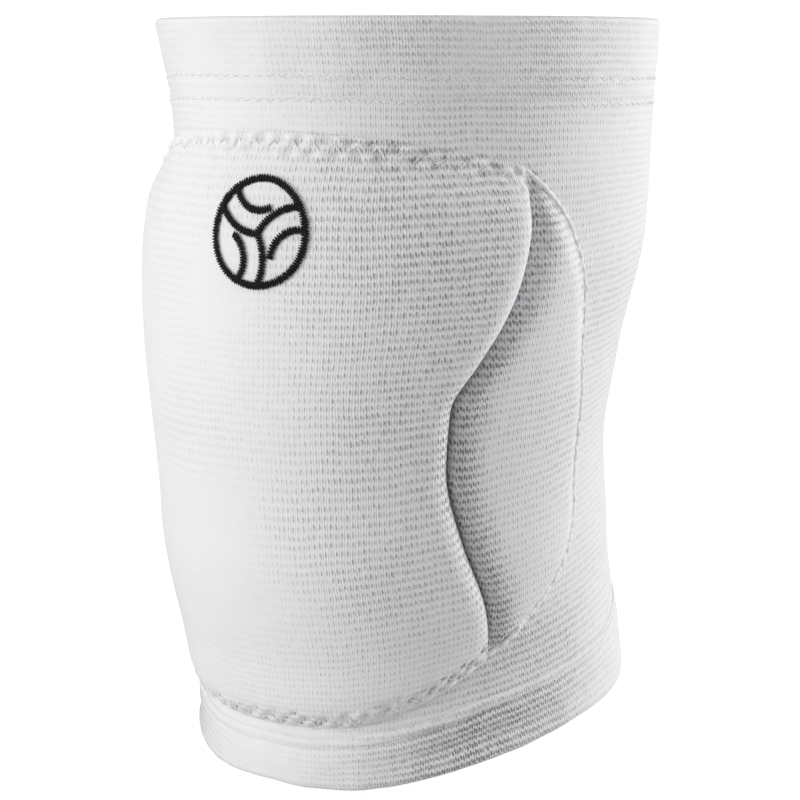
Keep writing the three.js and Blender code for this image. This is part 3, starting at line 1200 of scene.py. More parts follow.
@dataclass
class Cuff:
    """A folded band at one end of the sleeve."""

    leg: LegForm
    rim: Rim
    relief: Table
    proud: float
    opening: float
    beside: float
    pinch: float
    closed: float = 0.08
    pinch_level: float = 6.5
    pinch_tall: float = 3.0
    even: float = 0.75
    patches: Mottle = Mottle(0.3, 20.0, 12)
    creep: float = 0.22
    waves: tuple[Mottle, Mottle] = (Mottle(1.0, 9.0, 3), Mottle(0.6, 4.0, 4))
    wall: float = 3.4
    fold_steps: int = 8
    face_steps: int = 44
    columns: int = 280

    def _meet(self, turn: Points) -> Points:
        """Where the band meets the sleeve, as a share of the length."""
        leg, top = self.leg, self.rim is Rim.TOP
        return np.full(turn.shape, leg.upper_cuff_line) if top else leg.lower_cuff_line(turn)

    def _profile(self, turn: Points) -> tuple[Points, Points]:
        """The band's section, up its face, round its fold and down its back.

        Args:
            turn: degrees round from the front.

        Returns:
            Shares of the length and heights, by row and column.
        """
        radius = self.wall / 2
        middle = self.proud - radius
        meet = self._meet(turn)
        rim = 1.0 if self.rim is Rim.TOP else 0.0
        inset = self.rim.value * radius / self.leg.length
        face = np.linspace(0, 1, self.face_steps + 1)[:, None]
        rise = meet + (rim - inset - meet) * face
        swell = self.relief.curve("rise")(np.abs(rise - meet) * self.leg.length)
        front = middle + radius + swell
        angle = np.linspace(0, np.pi, self.fold_steps + 1)[1:-1, None]
        fold = rim - inset * (1 - np.sin(angle)) + 0 * turn
        bend = middle + radius * np.cos(angle) + 0 * turn
        back = np.full(rise.shape, middle - radius)
        return np.concatenate([rise, fold, rise[::-1]]), np.concatenate([front, bend, back])

    def _creep(self, turn: Points, at: Points, height: Points) -> Points:
        """Small uneven swells of the band's outer face.

        Args:
            turn: degrees round from the front.
            at: share of the length.
            height: the height without them.

        Returns:
            Millimetres to add to the height.
        """
        broad, fine = (self.leg.uneven(wave, turn, at) for wave in self.waves)
        low = bell(at * self.leg.length, self.pinch_level, self.pinch_tall)
        dip = self.pinch * beside_knee(turn) * low
        return (self.creep * (broad + fine) - dip) * (height > self.proud - self.wall / 2)

    def outer_height(self, turn: Points, at: Points) -> Points:
        """Height of the band's outer face, and 0 on the sleeve beside it.

        Args:
            turn: degrees round from the front.
            at: share of the length.

        Returns:
            The height at each place, in millimetres.
        """
        past = (at - self._meet(turn)) * self.leg.length * self.rim.value
        height = self.proud + self.relief.curve("rise")(past)
        return np.where(past < 0, 0, height + self._creep(turn, at, height))

    def build(self, name: str, finish: bpy.types.Material) -> bpy.types.Object:
        """Builds and dresses the band.

        Args:
            name: the piece's name.
            finish: the knit's material.

        Returns:
            The piece.
        """
        turn = np.linspace(-180, 180, self.columns + 1)
        at, height = self._profile(turn)
        turns = np.broadcast_to(turn, at.shape)
        height = height + self._creep(turns, at, height)
        loop = self.leg.place(turns, at, height)[:, :-1]
        steps = np.linalg.norm(np.diff(loop, axis=0, prepend=loop[:1]), axis=-1)
        run = np.cumsum(steps, axis=0) / MM
        level = (run.mean(axis=1) * self.rim.value)[:, None] / self.leg.length + at[0].mean()
        # Painted shade: the stretch value darkens the band's pits beside the knee, most on the
        # lower band in the shade under its roll, and everywhere but the left of the front; it also
        # deepens the knit's relief.
        pulled = self.closed + self.opening * opened(turns) + self.beside * beside_knee(turns)
        patchy = self.even + self.leg.uneven(self.patches, turns, at)
        uv = self.leg.cloth_map(turns, level, pulled * patchy)
        return tube_object(name, loop, uv, self.rim is Rim.BOTTOM, finish)


@dataclass
class CuffRoll:
    """The rolled edge where the lower cuff is sewn to the sleeve."""

    leg: LegForm
    width: float = 3.0
    height: float = 1.0
    lift: float = 0.06
    shift: float = -0.5
    wander: Mottle = Mottle(0.25, 9.0, 9)
    least: float = 0.45
    beside: float = 0.55
    lumps: Mottle = Mottle(0.15, 5.0, 8)
    closed: float = 0.12
    opening: float = 0.3
    pulled: float = 0.5
    columns: int = 280
    steps: int = 12
    under_steps: int = 5

    def build(self, finish: bpy.types.Material) -> bpy.types.Object:
        """Builds and dresses the roll.

        Args:
            finish: the knit's material.

        Returns:
            The piece.
        """
        leg = self.leg
        turn = np.linspace(-180, 180, self.columns + 1)
        angle = np.linspace(0, np.pi, self.steps + 1)[:, None]
        under = np.linspace(-1, 1, self.under_steps)[1:-1, None]
        across = np.concatenate([np.cos(angle), under]) * self.width / 2
        rise = np.concatenate([np.sin(angle) * self.height, 0 * under])
        lumps = leg.uneven(self.lumps, turn, 0 * turn)
        rise = rise * (self.least + self.beside * beside_knee(turn) + lumps)
        drift = self.shift + leg.uneven(self.wander, turn, 0 * turn)
        at = leg.lower_cuff_line(turn) + drift / leg.length + across / leg.length
        turns = np.broadcast_to(turn, at.shape)
        loop = leg.place(turns, at, self.lift + rise)[:, :-1]
        # Painted shade: the stretch value darkens the roll's pits beside the knee and everywhere
        # but the left of the front, as on the cuffs; it also deepens the knit's relief.
        stretch_and_shade = self.closed + self.opening * opened(turns) + self.pulled * beside_knee(turns)
        uv = leg.cloth_map(turns, at, stretch_and_shade)
        return tube_object("bottom_cuff_roll", loop, uv, True, finish)


@dataclass
class Swell:
    """Cloth simulation of a sewn panel that the foam pushes out from behind."""

    pressure: float = 4.0
    frames: int = 20
    most: float = 1.2

    FABRIC = {
        "quality": 6,
        "mass": 0.15,
        "tension_stiffness": 12,
        "compression_stiffness": 12,
        "shear_stiffness": 6,
        "bending_stiffness": 0.4,
        "air_damping": 4,
        "vertex_group_mass": "sewn",
        "use_pressure": True,
    }

    def heights(self, rest: Points, held: Points) -> Points:
        """How far the cloth swells outwards.

        Args:
            rest: rows by columns of points, in metres.
            held: which of them are sewn down.

        Returns:
            Millimetres at each point, at most the cap.
        """
        sheet = self._sheet(rest, held)
        cloth = sheet.modifiers.new("cloth", "CLOTH")
        for key, value in self.FABRIC.items():
            setattr(cloth.settings, key, value)
        cloth.settings.uniform_pressure_force = self.pressure
        cloth.settings.effector_weights.gravity = 0
        cloth.point_cache.frame_start = 1
        cloth.point_cache.frame_end = self.frames
        scene = bpy.context.scene
        for frame in range(1, self.frames + 1):
            scene.frame_set(frame)
        graph = bpy.context.evaluated_depsgraph_get()
        moved = np.empty(rest.size, np.float32)
        sheet.evaluated_get(graph).data.vertices.foreach_get("co", moved)
        out = np.cross(np.gradient(rest, axis=1), np.gradient(rest, axis=0))
        out /= np.linalg.norm(out, axis=-1, keepdims=True) + 1e-12
        lift = ((moved.reshape(rest.shape) - rest) * out).sum(axis=-1) / MM
        scene.frame_set(1)
        bpy.data.objects.remove(sheet, do_unlink=True)
        return self.most * np.tanh(lift / self.most)

    def _sheet(self, rest: Points, held: Points) -> bpy.types.Object:
        """The panel as one sheet, with its sewn points in a group.

        Args:
            rest: rows by columns of points, in metres.
            held: which of them are sewn down.

        Returns:
            The linked sheet.
        """
        index = np.arange(held.size).reshape(held.shape)
        quads = np.stack([index[:-1, :-1], index[:-1, 1:], index[1:, 1:], index[1:, :-1]], -1)
        mesh = bpy.data.meshes.new("panel")
        mesh.from_pydata(rest.reshape(-1, 3).tolist(), [], quads.reshape(-1, 4).tolist())
        sheet = linked("panel", mesh)
        sheet.vertex_groups.new(name="sewn").add(index[held].tolist(), 1.0, "REPLACE")
        return sheet


@dataclass(frozen=True)
class OpeningAndShade:
    """How far the cover's knit is pulled open in each place, where 0 is closed; open knit has
    darker pits, so this also paints shade.

    The ramps say from where to where it opens, in degrees for the front's two sides and
    in millimetres elsewhere. The reaches are how far from the crease it stays open.
    """

    closed: float = 0.14
    near_side: Ramp = (0, 42)
    far_side: Ramp = (40, 62)
    far_share: float = 0.3
    rise: Ramp = (5, 75)
    top: Ramp = (105, 140)
    top_share: float = 0.35
    low_half: Ramp = (85, 120)
    lip: Ramp = (2, 9)
    lip_share: float = 0.3
    crease: float = 1.1
    crease_reach: float = 2.6
    line: float = 0.5
    line_reach: float = 1.2
    side: float = 0.55
    side_crease: float = 1.3
    side_low: float = 0.6
    side_ramp: Ramp = (1, 12)
    dimple: float = 0.35
    dimple_low: float = 0.95
    patches: Mottle = Mottle(0.2, 18.0, 13)
    least: float = 0.08
    most: float = 1.9


@dataclass
class PadCover:
    """The pocket's knitted cover: the front panel and both side panels in one cloth."""

    pocket: Pocket
    opening_and_shade: OpeningAndShade = OpeningAndShade()
    front_columns: int = 170
    side_columns: int = 34
    rows: int = 188
    coarse_rows: int = 48
    coarse_front: int = 39
    coarse_side: int = 9
    pucker_pitch: float = 5.7
    pucker_height: float = 1.0
    pucker_row: float = 1.7
    pucker_rows_apart: float = 3.2
    pucker_ramp: Ramp = (0.2, 1.2)
    lump: float = 0.35
    gather: float = 0.5
    lumps: Mottle = Mottle(0.4, 2.0, 5)
    drift: Mottle = Mottle(0.2, 9.0, 1)
    low_seam: Ramp = (55, 75)
    hole_rows: tuple[tuple[float, float], ...] = ((1.6, 0.0), (3.7, 0.5), (5.8, 0.0))
    hole_depth: float = 1.0
    hole_depth_low: float = 0.7
    hole_long: float = 0.85
    hole_wide: float = 0.8
    hole_even: float = 0.6
    hole_patches: Mottle = Mottle(0.55, 6.0, 2)
    crease_depth: float = 1.6
    crease_inside: float = 1.6
    crease_outside: float = 2.4
    seam_band: float = 7.4
    ridge_pitch: float = 3.4
    ridge_height: float = 0.7
    ridge_middle: float = 1.8
    ridge_width: float = 1.2
    ridge_beads: float = 0.2
    ridge_drift: Mottle = Mottle(3.0, 12.0, 6)
    corner_ramp: Ramp = (-2, 3)
    side_puckers: float = 0.3
    hem_width: float = 8.5
    hem_wall: float = 0.24
    side_fall: float = 9.5
    under: float = 0.03
    under_ramp: Ramp = (0.5, 4)
    least_wall: float = 0.08
    side_bunch: float = 1.2
    surface: tuple[Points, ...] = ()

    def _shares(self) -> Places:
        """The cover's grid, closer together at its seams and creases.

        Returns:
            Shares up the cover, across the front and out over a side.
        """
        even = np.linspace(0, 1, self.rows + 1)[:, None]
        up = ((1 - np.cos(np.pi * even)) / 2 + even) / 2
        flat = np.linspace(-1, 1, self.front_columns + 1)
        across = ((2 * np.sin(np.pi / 2 * flat) + flat) / 3)[None, :]
        out = (np.linspace(0, 1, self.side_columns + 1) ** self.side_bunch)[None, 1:]
        return up, across, out

    @staticmethod
    def _join(side: Points, front: Points, sign: int = 1) -> Points:
        """A side's values on both sides of the front's."""
        return np.concatenate([side[:, ::-1] * sign, front, side], axis=1)

    def _grid(self, inset: float) -> Places:
        """The whole cover without its seams.

        Args:
            inset: how far under the outer face the surface lies.

        Returns:
            Turn, share of the length and height, by row and column.
        """
        up, across, out = self._shares()
        front = self.pocket.front(across, up, inset)
        side = self.pocket.side(out, up, inset)
        return tuple(self._join(side[k], front[k], -1 if k == 0 else 1) for k in range(3))

    def _widths(self) -> tuple[Points, Points]:
        """How wide half the front and a side panel are at each row.

        Returns:
            Millimetres from the middle to the crease, and on to the side seam.
        """
        k = self.pocket.leg.mm_per_degree
        crease, seam = side_edges(self._shares()[0])
        return crease * k, seam * k - crease * k

    def _from_seam(self) -> tuple[Points, Points]:
        """How far each place is from the seam.

        Returns:
            Millimetres up or down to it, and to the side.
        """
        up, across, out = self._shares()
        leg = self.pocket.leg
        panel = leg.length * (leg.upper_cuff_line - leg.lower_cuff_line(0.0))
        low, high = front_edges(across)
        tall = (high - low) * panel
        edge = np.minimum(up, 1 - up)
        crease, wide = self._widths()
        along = self._join(edge * tall[:, -1:] + 0 * out, edge * tall)
        beside = self._join((1 - out) * wide, (1 - np.abs(across)) * crease + wide)
        return along, beside

    def _from_crease(self) -> tuple[Points, Points]:
        """How far each place is from the crease.

        Returns:
            Millimetres on the front panel, and on a side panel.
        """
        _, across, out = self._shares()
        crease, wide = self._widths()
        inside = self._join(0 * out * wide, (1 - np.abs(across)) * crease)
        outside = self._join(out * wide, 0 * across * crease)
        return inside, outside

    def _run(self, x: Points, y: Points, along: Points, beside: Points) -> Points:
        """How many puckers along the seam each place is."""
        return np.where(along < beside, x, y) / self.pucker_pitch + self.drift.at(x, y)

    def _holes(self, x: Points, y: Points, along: Points, beside: Points) -> Points:
        """The needle's dimples, in rows along the seams.

        Args:
            x: millimetres across the cloth.
            y: millimetres along the cloth.
            along: millimetres from the upper or lower seam.
            beside: millimetres from the side seam.

        Returns:
            How deep in a dimple each place is, from 0 to 1.
        """
        off = np.minimum(along, beside)
        run = self._run(x, y, along, beside)
        shift = self.drift.at(x, y)
        holes = 0 * run
        for line, start in self.hole_rows:
            near = (run + start - np.round(run + start)) * self.pucker_pitch / self.hole_long
            holes = holes + np.exp(-(((off - line - shift) / self.hole_wide) ** 2) - near**2)
        return holes * (self.hole_even + self.hole_patches.at(x, y))

    def _puckers(self, turn: Points, at: Points, along: Points, beside: Points) -> Points:
        """The seam's gathered lumps, dimples and side ridge.

        Args:
            turn: degrees round from the front.
            at: share of the length.
            along: millimetres from the upper or lower seam.
            beside: millimetres from the side seam.

        Returns:
            Millimetres to add to the height.
        """
        x, y = self.pocket.leg.flat(turn, at)
        off = np.minimum(along, beside)
        run = self._run(x, y, along, beside)
        row = np.cos(np.pi * (off - self.pucker_row) / self.pucker_rows_apart)
        fade = 1 - smooth_step(off, self.seam_band - 2, self.seam_band)
        band = smooth_step(off, *self.pucker_ramp) * fade
        swell = self.gather * (np.cos(2 * np.pi * run) * row)
        lumps = self.lump - swell + self.lumps.at(x, y)
        depth = self.hole_depth + self.hole_depth_low * (1 - smooth_step(y, *self.low_seam))
        sewn = self.pucker_height * band * (lumps - depth * self._holes(x, y, along, beside))
        close = np.cos(2 * np.pi * y / self.ridge_pitch + self.ridge_drift.at(x, y))
        ridge = self.ridge_height * bell(off, self.ridge_middle, self.ridge_width)
        ridge = ridge * (1 + self.ridge_beads * close)
        side = smooth_step(along - beside, *self.corner_ramp)
        return sewn * (1 - (1 - self.side_puckers) * side) + ridge * side

    def _stretch_and_shade(self, turn: Points, at: Points) -> Points:
        """How open the knit is, and so its painted shade: closed over the lip, open and darker
        beside it and in the crease.

        Args:
            turn: degrees round from the front.
            at: share of the length.

        Returns:
            The stretch at each place.
        """
        inside, outside = self._from_crease()
        x, y = self.pocket.leg.flat(turn, at)
        knit = self.opening_and_shade
        low = 1 - smooth_step(y, *knit.low_half)
        # Painted shade: more open, darker knit right of the front, a little of it far round on the
        # left, and more higher up.
        far = knit.far_share * smooth_step(-turn, *knit.far_side)
        open_side = smooth_step(turn, *knit.near_side) + far
        level = smooth_step(y, *knit.rise) + knit.top_share * smooth_step(y, *knit.top)
        front = knit.closed + open_side * level
        off_lip = np.maximum(smooth_step(inside, *knit.lip), low)
        front = front * (knit.lip_share + (1 - knit.lip_share) * off_lip)
        # Painted shade in the crease, on its lower half, and along the crease line.
        front = front + knit.crease * low * bell(inside, 0, knit.crease_reach)
        front = front + knit.line * bell(inside, 0, knit.line_reach)
        # Painted shade on the side panel next to the crease, where the lip shades it.
        near_crease = 1 - smooth_step(outside, *knit.side_ramp)
        side = knit.side + (knit.side_crease + knit.side_low * low) * near_crease
        mixed = np.where(outside > 0, side, front)
        # Painted shade in the needle dimples, most along the lower seam.
        open_holes = knit.dimple + knit.dimple_low * (1 - smooth_step(y, *self.low_seam))
        dimples = open_holes * self._holes(x, y, *self._from_seam())
        return np.clip(mixed + dimples + knit.patches.at(x, y), knit.least, knit.most)

    def _swell(self, turn: Points, at: Points, height: Points) -> Points:
        """The simulated swell of the three panels.

        Args:
            turn: degrees round from the front.
            at: share of the length.
            height: the cover's height at rest.

        Returns:
            Millimetres on the fine grid.
        """
        rows = np.linspace(0, self.rows, self.coarse_rows).round().astype(int)
        columns = self._coarse_columns()
        rest = self.pocket.leg.place(turn, at, height)[np.ix_(rows, columns)]
        held = np.zeros(rest.shape[:2], bool)
        held[[0, -1]] = True
        sewn = (0, self.side_columns, self.side_columns + self.front_columns, columns[-1])
        for k, column in enumerate(columns):
            held[:, k] |= column in sewn
        lift = Swell().heights(rest, held)
        middle = np.stack([np.interp(np.arange(turn.shape[1]), columns, row) for row in lift])
        return np.stack([np.interp(np.arange(turn.shape[0]), rows, c) for c in middle.T], axis=1)

    def _coarse_columns(self) -> list[int]:
        """The columns that the simulation uses.

        Returns:
            Column numbers in order, with both creases among them.
        """
        side = np.linspace(0, self.side_columns, self.coarse_side).round().astype(int)
        even = np.linspace(0, self.front_columns, self.coarse_front).round().astype(int)
        front = self.side_columns + even
        far = self.side_columns + self.front_columns + side
        return sorted({*side.tolist(), *front.tolist(), *far.tolist()})

    def line(self, inside: float, edge: Rim | Side) -> Places:
        """Places on the finished cover along a seam, inside its edge.

        Args:
            inside: millimetres in from the edge.
            edge: which edge of the cover.

        Returns:
            Turn, share of the length and height along the line.
        """
        along, beside = self._from_seam()
        grids, short = self.surface, self.side_columns
        if isinstance(edge, Rim):
            half = slice(None, self.rows // 2, edge.value * -1)
            columns = range(short, short + self.front_columns + 1)
            lines = [(along[half, k], [g[half, k] for g in grids]) for k in columns]
        else:
            half = slice(None, None, -edge.value)
            rows = range(2, self.rows - 1)
            lines = [(beside[j, half][:short], [g[j, half][:short] for g in grids]) for j in rows]
            lines = [row for row in lines if row[0][-1] > inside]
        return tuple(np.array([np.interp(inside, off, g[k]) for off, g in lines]) for k in range(3))

    def build(self, finish: bpy.types.Material) -> bpy.types.Object:
        """Builds and dresses the cover, and keeps its surface for the seams.

        Args:
            finish: the knit's material.

        Returns:
            The piece.
        """
        pocket, leg = self.pocket, self.pocket.leg
        turn, at, height = self._grid(0.0)
        along, beside = self._from_seam()
        off = np.minimum(along, beside)
        _, _, deep = self._grid(pocket.cover_wall)
        hem = smooth_step(off, 0, self.hem_width)
        least = self.hem_wall * (0.5 + 0.5 * hem)
        plain = self.hem_wall + (pocket.seam_height - self.hem_wall) * hem
        beyond = np.abs(turn) > np.abs(turn[:, self.side_columns + self.front_columns])[:, None]
        gentle = np.where(beyond, smooth_step(beside, -2, self.side_fall), 1)
        raised = (height - pocket.seam_height) * gentle + plain
        swell = np.maximum(0, self._swell(turn, at, height))
        inside, outside = self._from_crease()
        near = (inside / self.crease_inside) ** 2
        pulled = self.crease_depth * np.exp(-near - (outside / self.crease_outside) ** 2)
        outer = raised + swell - pulled + self._puckers(turn, at, along, beside)
        outer = np.maximum(least, outer)
        under = pocket.gap * smooth_step(off, *self.under_ramp) + self.under
        deep = (deep - pocket.seam_height) * gentle + pocket.seam_height
        inner = np.maximum(under, deep - pocket.cover_wall)
        inner = np.minimum(inner, outer - self.least_wall)
        uv = leg.cloth_map(turn, at, self._stretch_and_shade(turn, at))
        self.surface = (turn, at, outer)
        faces = leg.place(turn, at, outer), leg.place(turn, at, inner)
        return shell_object("pad_cover_cloth", *faces, uv, False, finish)


@dataclass
class Foam:
    """The three foam pads behind the cover."""

    pocket: Pocket
    gap: float = 0.6
    inset: float = 3.8
    columns: int = 60
    rows: int = 80
    front_low: float = 0.05
    front_high: float = 0.95
    front_turn: float = 52.0
    side_low: float = 0.16
    side_high: float = 0.82
    side_reach: float = 0.82
    side_bunch: float = 1.7

    @property
    def depth(self) -> float:
        """How far under the cover's outer face the foam starts."""
        return self.pocket.cover_wall + self.gap

    def _solid(self, name: str, places: Places, finish: bpy.types.Material) -> bpy.types.Object:
        """A pad between the cover and the sleeve.

        Args:
            name: the piece's name.
            places: turn, share of the length and the cover's height.
            finish: the foam's material.

        Returns:
            The piece.
        """
        leg = self.pocket.leg
        turn, at, height = places
        outer = leg.place(turn, at, height - self.depth)
        inner = leg.place(turn, at, self.gap)
        return shell_object(name, outer, inner, leg.cloth_map(turn, at, 1.0), False, finish)

    def _up(self, low: float, high: float) -> Points:
        """Rows between two shares of the panel's height, closer together at both ends."""
        eased = 1 - np.cos(np.pi * np.linspace(0, 1, self.rows + 1))
        return (low + (high - low) * eased / 2)[:, None]

    def front(self, finish: bpy.types.Material) -> bpy.types.Object:
        """Builds and dresses the pad behind the front panel.

        Args:
            finish: the foam's material.

        Returns:
            The piece.
        """
        reach = 1 - self.inset / (self.front_turn * self.pocket.leg.mm_per_degree)
        across = reach * np.sin(np.pi / 2 * np.linspace(-1, 1, self.columns + 1))[None, :]
        up = self._up(self.front_low, self.front_high)
        return self._solid("front_foam_pad", self.pocket.front(across, up, self.depth), finish)

    def side(self, side: Side, finish: bpy.types.Material) -> bpy.types.Object:
        """Builds and dresses the pad behind one side panel.

        Args:
            side: which side of the leg.
            finish: the foam's material.

        Returns:
            The piece.
        """
        up = self._up(self.side_low, self.side_high)
        crease, seam = side_edges(up)
        start = self.inset / ((seam - crease) * self.pocket.leg.mm_per_degree)
        even = np.linspace(0, 1, self.columns // 2 + 1)[None, ::side.value]
        out = start + (self.side_reach - start) * even**self.side_bunch
        turn, at, height = self.pocket.side(out, up, self.depth)
        name = f"side_foam_pad_{side.name.lower()}"
        return self._solid(name, (side.value * turn, at, height), finish)


@dataclass
class Seams:
    """The sewn seams round the pocket and along the cuffs."""

    cover: PadCover
    cuff: Cuff
    tree: StitchTree
    white: bpy.types.Material
    cream: bpy.types.Material
    steps: int = 320
    band: float = 3.4
    ridge: float = 1.8
    smoothing: int = 9
    hem_lift: float = 0.06
    hem_lines: tuple[tuple[float, float], ...] = ((0.921, 0.007), (0.8875, 0.008))
    droop_from: Ramp = (20, 60)
    droop_to: Ramp = (120, 170)

    def _hem(self, at: float, droop: float) -> SeamPath:
        """A path round the upper cuff, a little lower at the sides.

        Args:
            at: share of the length.
            droop: how much lower the path runs at the sides.

        Returns:
            Points and unit directions.
        """
        turn = np.linspace(-180, 180, self.steps + 1)
        off = np.abs(turn)
        lower = droop * smooth_step(off, *self.droop_from) * (1 - smooth_step(off, *self.droop_to))
        height = self.cuff.outer_height(turn, at - lower)
        return path_on(self.cuff.leg, turn, at - lower, height, self.hem_lift)

    def _line(self, inside: float, edge: Rim | Side, lift: float) -> SeamPath:
        """A path along one of the cover's edges, over its puckers.

        Args:
            inside: millimetres in from the edge.
            edge: which edge of the cover.
            lift: how far over the cloth the path runs.

        Returns:
            Points and unit directions.
        """
        turn, at, height = self.cover.line(inside, edge)
        size = self.smoothing if isinstance(edge, Rim) else 1
        padded = np.pad(height, size // 2, mode="edge")
        level = np.convolve(padded, np.ones(size) / size, mode="valid")
        return path_on(self.cover.pocket.leg, turn, at, level, lift)

    def build(self) -> list[bpy.types.Object]:
        """Sews every seam.

        Returns:
            The pieces, one for each kind of seam.
        """
        zigzag = Stitch(self.white, spacing=2.85, length=4.6, radius=0.17, lean=50, uneven=10)
        edge = Stitch(self.cream, spacing=2.3, length=4.0, radius=0.75, lean=8, uneven=7)
        hem = Stitch(self.white, spacing=1.9, length=2.1, radius=0.17, lean=24, uneven=8)
        seams = {
            "pocket_top_stitches": ([self._line(self.band, Rim.TOP, 0.04)], zigzag),
            "pocket_bottom_stitches": ([self._line(self.band, Rim.BOTTOM, 0.1)], zigzag),
            "side_seam_stitches": ([self._line(self.ridge, s, -0.28) for s in Side], edge),
            "hem_stitches": ([self._hem(*line) for line in self.hem_lines], hem),
        }
        return [self.tree.sew(name, paths, stitch) for name, (paths, stitch) in seams.items()]


@dataclass
class BallEmblem:
    """A small embroidered ball: a rim and three pairs of curved panel lines.

    Each of the arcs has its radius as a share of the rim's, its start and its end.
    """

    pocket: Pocket
    tree: StitchTree
    thread: bpy.types.Material
    radius: float = 12.0
    stroke: float = 1.9
    turn: float = 9.0
    level: float = 0.81
    lift: float = 0.55
    over_edge: float = 0.5
    arcs: tuple[tuple[float, float, float], ...] = ((1.0, 120, 181), (0.58, 107, 205))

    @staticmethod
    def _arc(centre: Points, radius: float, start: float, end: float) -> Points:
        """Points round a flat arc, a step apart or less."""
        angle = np.radians(np.linspace(start, end, int(abs(end - start) / ARC_STEP) + 2))
        return centre + radius * np.stack([np.cos(angle), np.sin(angle)], -1)

    def _strokes(self) -> list[Points]:
        """The drawing's lines.

        Returns:
            Flat points of each line, in millimetres.
        """
        rim = self.radius - self.stroke / 2
        lines = [self._arc(np.zeros(2), rim, 0, 360)]
        for heading in (90, 210, 330):
            toward = np.radians(heading)
            centre = rim * np.array([np.cos(toward), np.sin(toward)])
            for share, start, end in self.arcs:
                lines.append(self._arc(centre, share * rim, heading + start, heading + end))
        return lines

    def _on_pad(self, flat: Points) -> SeamPath:
        """Lays flat points on the front panel.

        Args:
            flat: points in millimetres, across and up.

        Returns:
            Points and unit directions.
        """
        pocket, leg = self.pocket, self.pocket.leg
        turn = self.turn + flat[:, 0] / leg.mm_per_degree
        at = pocket.panel_share(self.level) + flat[:, 1] / leg.length
        share = pocket.between_cuffs(at)
        across = turn / crease_turn(share)
        low, high = front_edges(across)
        _, _, height = pocket.front(across, (share - low) / (high - low))
        return path_on(leg, turn, at, height, self.lift)

    def build(self) -> bpy.types.Object:
        """Embroiders the ball in satin stitch.

        Returns:
            The piece.
        """
        long = self.stroke + self.over_edge
        satin = Stitch(self.thread, spacing=0.36, length=long, radius=0.26, lean=80, uneven=8)
        paths = [self._on_pad(line) for line in self._strokes()]
        return self.tree.sew("ball_embroidery", paths, satin)


@dataclass(frozen=True)
class Lamp:
    """A square soft light: its place from the part's middle, and metres and watts."""

    turn: float
    rise: float
    far: float
    size: float
    power: float


@dataclass(frozen=True)
class Studio:
    """Pale floor, soft lights and the camera."""

    distance: float = 0.7
    azimuth: float = 40.0
    elevation: float = 7.7
    lens: float = 112.4
    sensor: float = 36.0
    shift: tuple[float, float] = (-0.010, -0.0121)
    nearest: float = 0.05
    floor_gap: float = 0.003
    floor_reach: float = 6.0
    floor_grey: float = 0.6
    floor_glow: float = 0.8
    floor_roughness: float = 0.95
    floor_specular: float = 0.1
    ambient: float = 0.43
    backdrop: float = 1.1
    lamps: tuple[Lamp, ...] = (
        Lamp(-24.0, 12.0, 1.1, 0.7, 7.4),
        Lamp(135.0, 15.0, 1.1, 0.7, 8.5),
        Lamp(20.0, 75.0, 1.2, 0.8, 1.0),
    )

    @staticmethod
    def _aim(
        name: str, data: bpy.types.ID, turn: float, rise: float, far: float
    ) -> bpy.types.Object:
        """Puts a camera or lamp round the part, looking at its middle.

        Args:
            name: the object's name.
            data: the camera or lamp.
            turn: degrees round from the front.
            rise: degrees over level.
            far: metres from the middle.

        Returns:
            The linked object.
        """
        aimed = linked(name, data)
        a, e = np.radians(turn), np.radians(rise)
        aimed.location = Vector((np.sin(a) * np.cos(e), -np.cos(a) * np.cos(e), np.sin(e))) * far
        aimed.rotation_euler = (-aimed.location).to_track_quat("-Z", "Y").to_euler()
        return aimed

    def camera(self) -> None:
        """Sets the camera at the photograph's angle."""
        data = bpy.data.cameras.new("camera")
        data.lens = self.lens
        data.sensor_width = self.sensor
        data.shift_x, data.shift_y = self.shift
        data.clip_start = self.nearest
        camera = self._aim("camera", data, self.azimuth, self.elevation, self.distance)
        bpy.context.scene.camera = camera

    def light(self) -> None:
        """Adds the soft lights and the pale surroundings."""
        for k, lamp in enumerate(self.lamps):
            data = bpy.data.lights.new(f"softbox_{k}", "AREA")
            data.size = lamp.size
            data.energy = lamp.power
            self._aim(f"softbox_{k}", data, lamp.turn, lamp.rise, lamp.far)
        world = bpy.data.worlds.new("pale")
        bpy.context.scene.world = world
        world.use_nodes = True
        wires = Wires(world.node_tree)
        seen = wires.node("ShaderNodeLightPath").outputs["Is Camera Ray"]
        more = wires.math("MULTIPLY", seen, self.backdrop - self.ambient)
        shine = wires.math("ADD", self.ambient, more)
        wires.fill(world.node_tree.nodes["Background"], Color=(1.0, 1.0, 1.0, 1), Strength=shine)
        bpy.context.scene.view_settings.view_transform = "Standard"

    def floor(self, lowest: float) -> None:
        """Lays the floor just under the lowest point.

        Args:
            lowest: the part's lowest height, in metres.
        """
        mesh = bpy.data.meshes.new("floor")
        reach, level = self.floor_reach, lowest - self.floor_gap
        corners = [(-reach, -reach), (reach, -reach), (reach, reach), (-reach, reach)]
        mesh.from_pydata([(x, y, level) for x, y in corners], [], [(0, 1, 2, 3)])
        material, wires, shader = bare_material("pale_floor")
        seen = wires.node("ShaderNodeLightPath").outputs["Is Camera Ray"]
        wires.fill(
            shader,
            Emission_Strength=wires.math("MULTIPLY", seen, self.floor_glow),
            Emission_Color=(1, 1, 1, 1),
            Base_Color=(self.floor_grey, self.floor_grey, self.floor_grey, 1),
            Roughness=self.floor_roughness,
            Specular_IOR_Level=self.floor_specular,
        )
        mesh.materials.append(material)
        linked("floor", mesh)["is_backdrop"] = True


def carry(piece: bpy.types.Object, slot: str, *nodes: str) -> None:
    """Rides a piece on the body, and hides the solids that it stands for.

    Args:
        piece: the finished piece.
        slot: the record's material slot; not used.
        nodes: the solids that it replaces.
    """
    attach(piece, BODY)
    if nodes:
        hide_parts(*nodes)
    LOG.info("%s: %d faces", piece.name, len(piece.data.polygons))


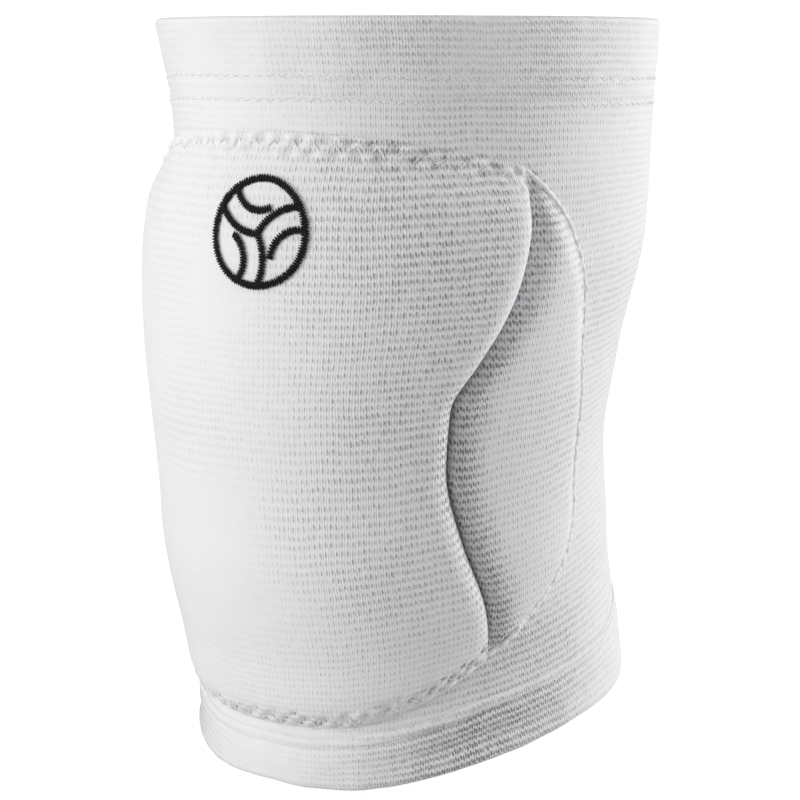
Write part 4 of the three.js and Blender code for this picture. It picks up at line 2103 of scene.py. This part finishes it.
def main() -> None:
    """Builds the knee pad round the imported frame, in order."""
    logging.basicConfig(level=logging.INFO, format="%(message)s")
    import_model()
    cad_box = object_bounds()
    studio = Studio()
    studio.camera()
    studio.light()
    studio.floor(cad_box[0][2])

    groups = Groups(Stockinette().group(), Fuzz().group())
    knit = KnitFinish("white_knit").material(groups)
    band = KnitFinish(
        "cuff_knit", wale=1.4, course=2.0, pit_shade=0.6, between=0.85, groove=0.17
    ).material(groups)
    white = ThreadFinish("white_thread", (0.93, 0.925, 0.91)).material(groups)
    cream = ThreadFinish("cream_thread", (0.92, 0.916, 0.9)).material(groups)
    ink = (0.004, 0.004, 0.0045)
    black = ThreadFinish("black_thread", ink, roughness=0.75, sheen=0.0).material(groups)
    foam_finish = FoamFinish().material(groups)

    leg = LegForm()
    pocket = Pocket(leg)
    tree = StitchTree()
    sleeve = Sleeve(leg).build(knit)
    top_cuff = Cuff(leg, Rim.TOP, HEM_RELIEF, proud=0.0, opening=0.36, beside=0.75, pinch=0.0)
    top = top_cuff.build("top_cuff_band", band)
    low_cuff = Cuff(leg, Rim.BOTTOM, ROLL_RELIEF, proud=1.2, opening=0.35, beside=1.7, pinch=1.5)
    bottom = low_cuff.build("bottom_cuff_band", band)
    roll = CuffRoll(leg).build(band)
    pad_cover = PadCover(pocket)
    cover = pad_cover.build(knit)
    foam = Foam(pocket)
    foams = [foam.front(foam_finish), *(foam.side(side, foam_finish) for side in Side)]
    seams = Seams(pad_cover, top_cuff, tree, white, cream).build()
    emblem = BallEmblem(pocket, tree, black).build()

    carry(sleeve, "white_knit", "knit_sleeve")
    carry(top, "cuff_knit", "top_cuff")
    carry(bottom, "cuff_knit", "bottom_cuff")
    carry(roll, "cuff_knit")
    carry(cover, "white_knit", "pad_cover")
    for piece, node in zip(foams, ("front_foam", "side_foam_left", "side_foam_right")):
        carry(piece, "foam", node)
    for piece in seams:
        carry(piece, "white_knit")
    carry(emblem, "black_thread", "ball_emblem")

    *pocket_seams, hem = seams
    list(pocket_seams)


if __name__ == "__main__":
    main()
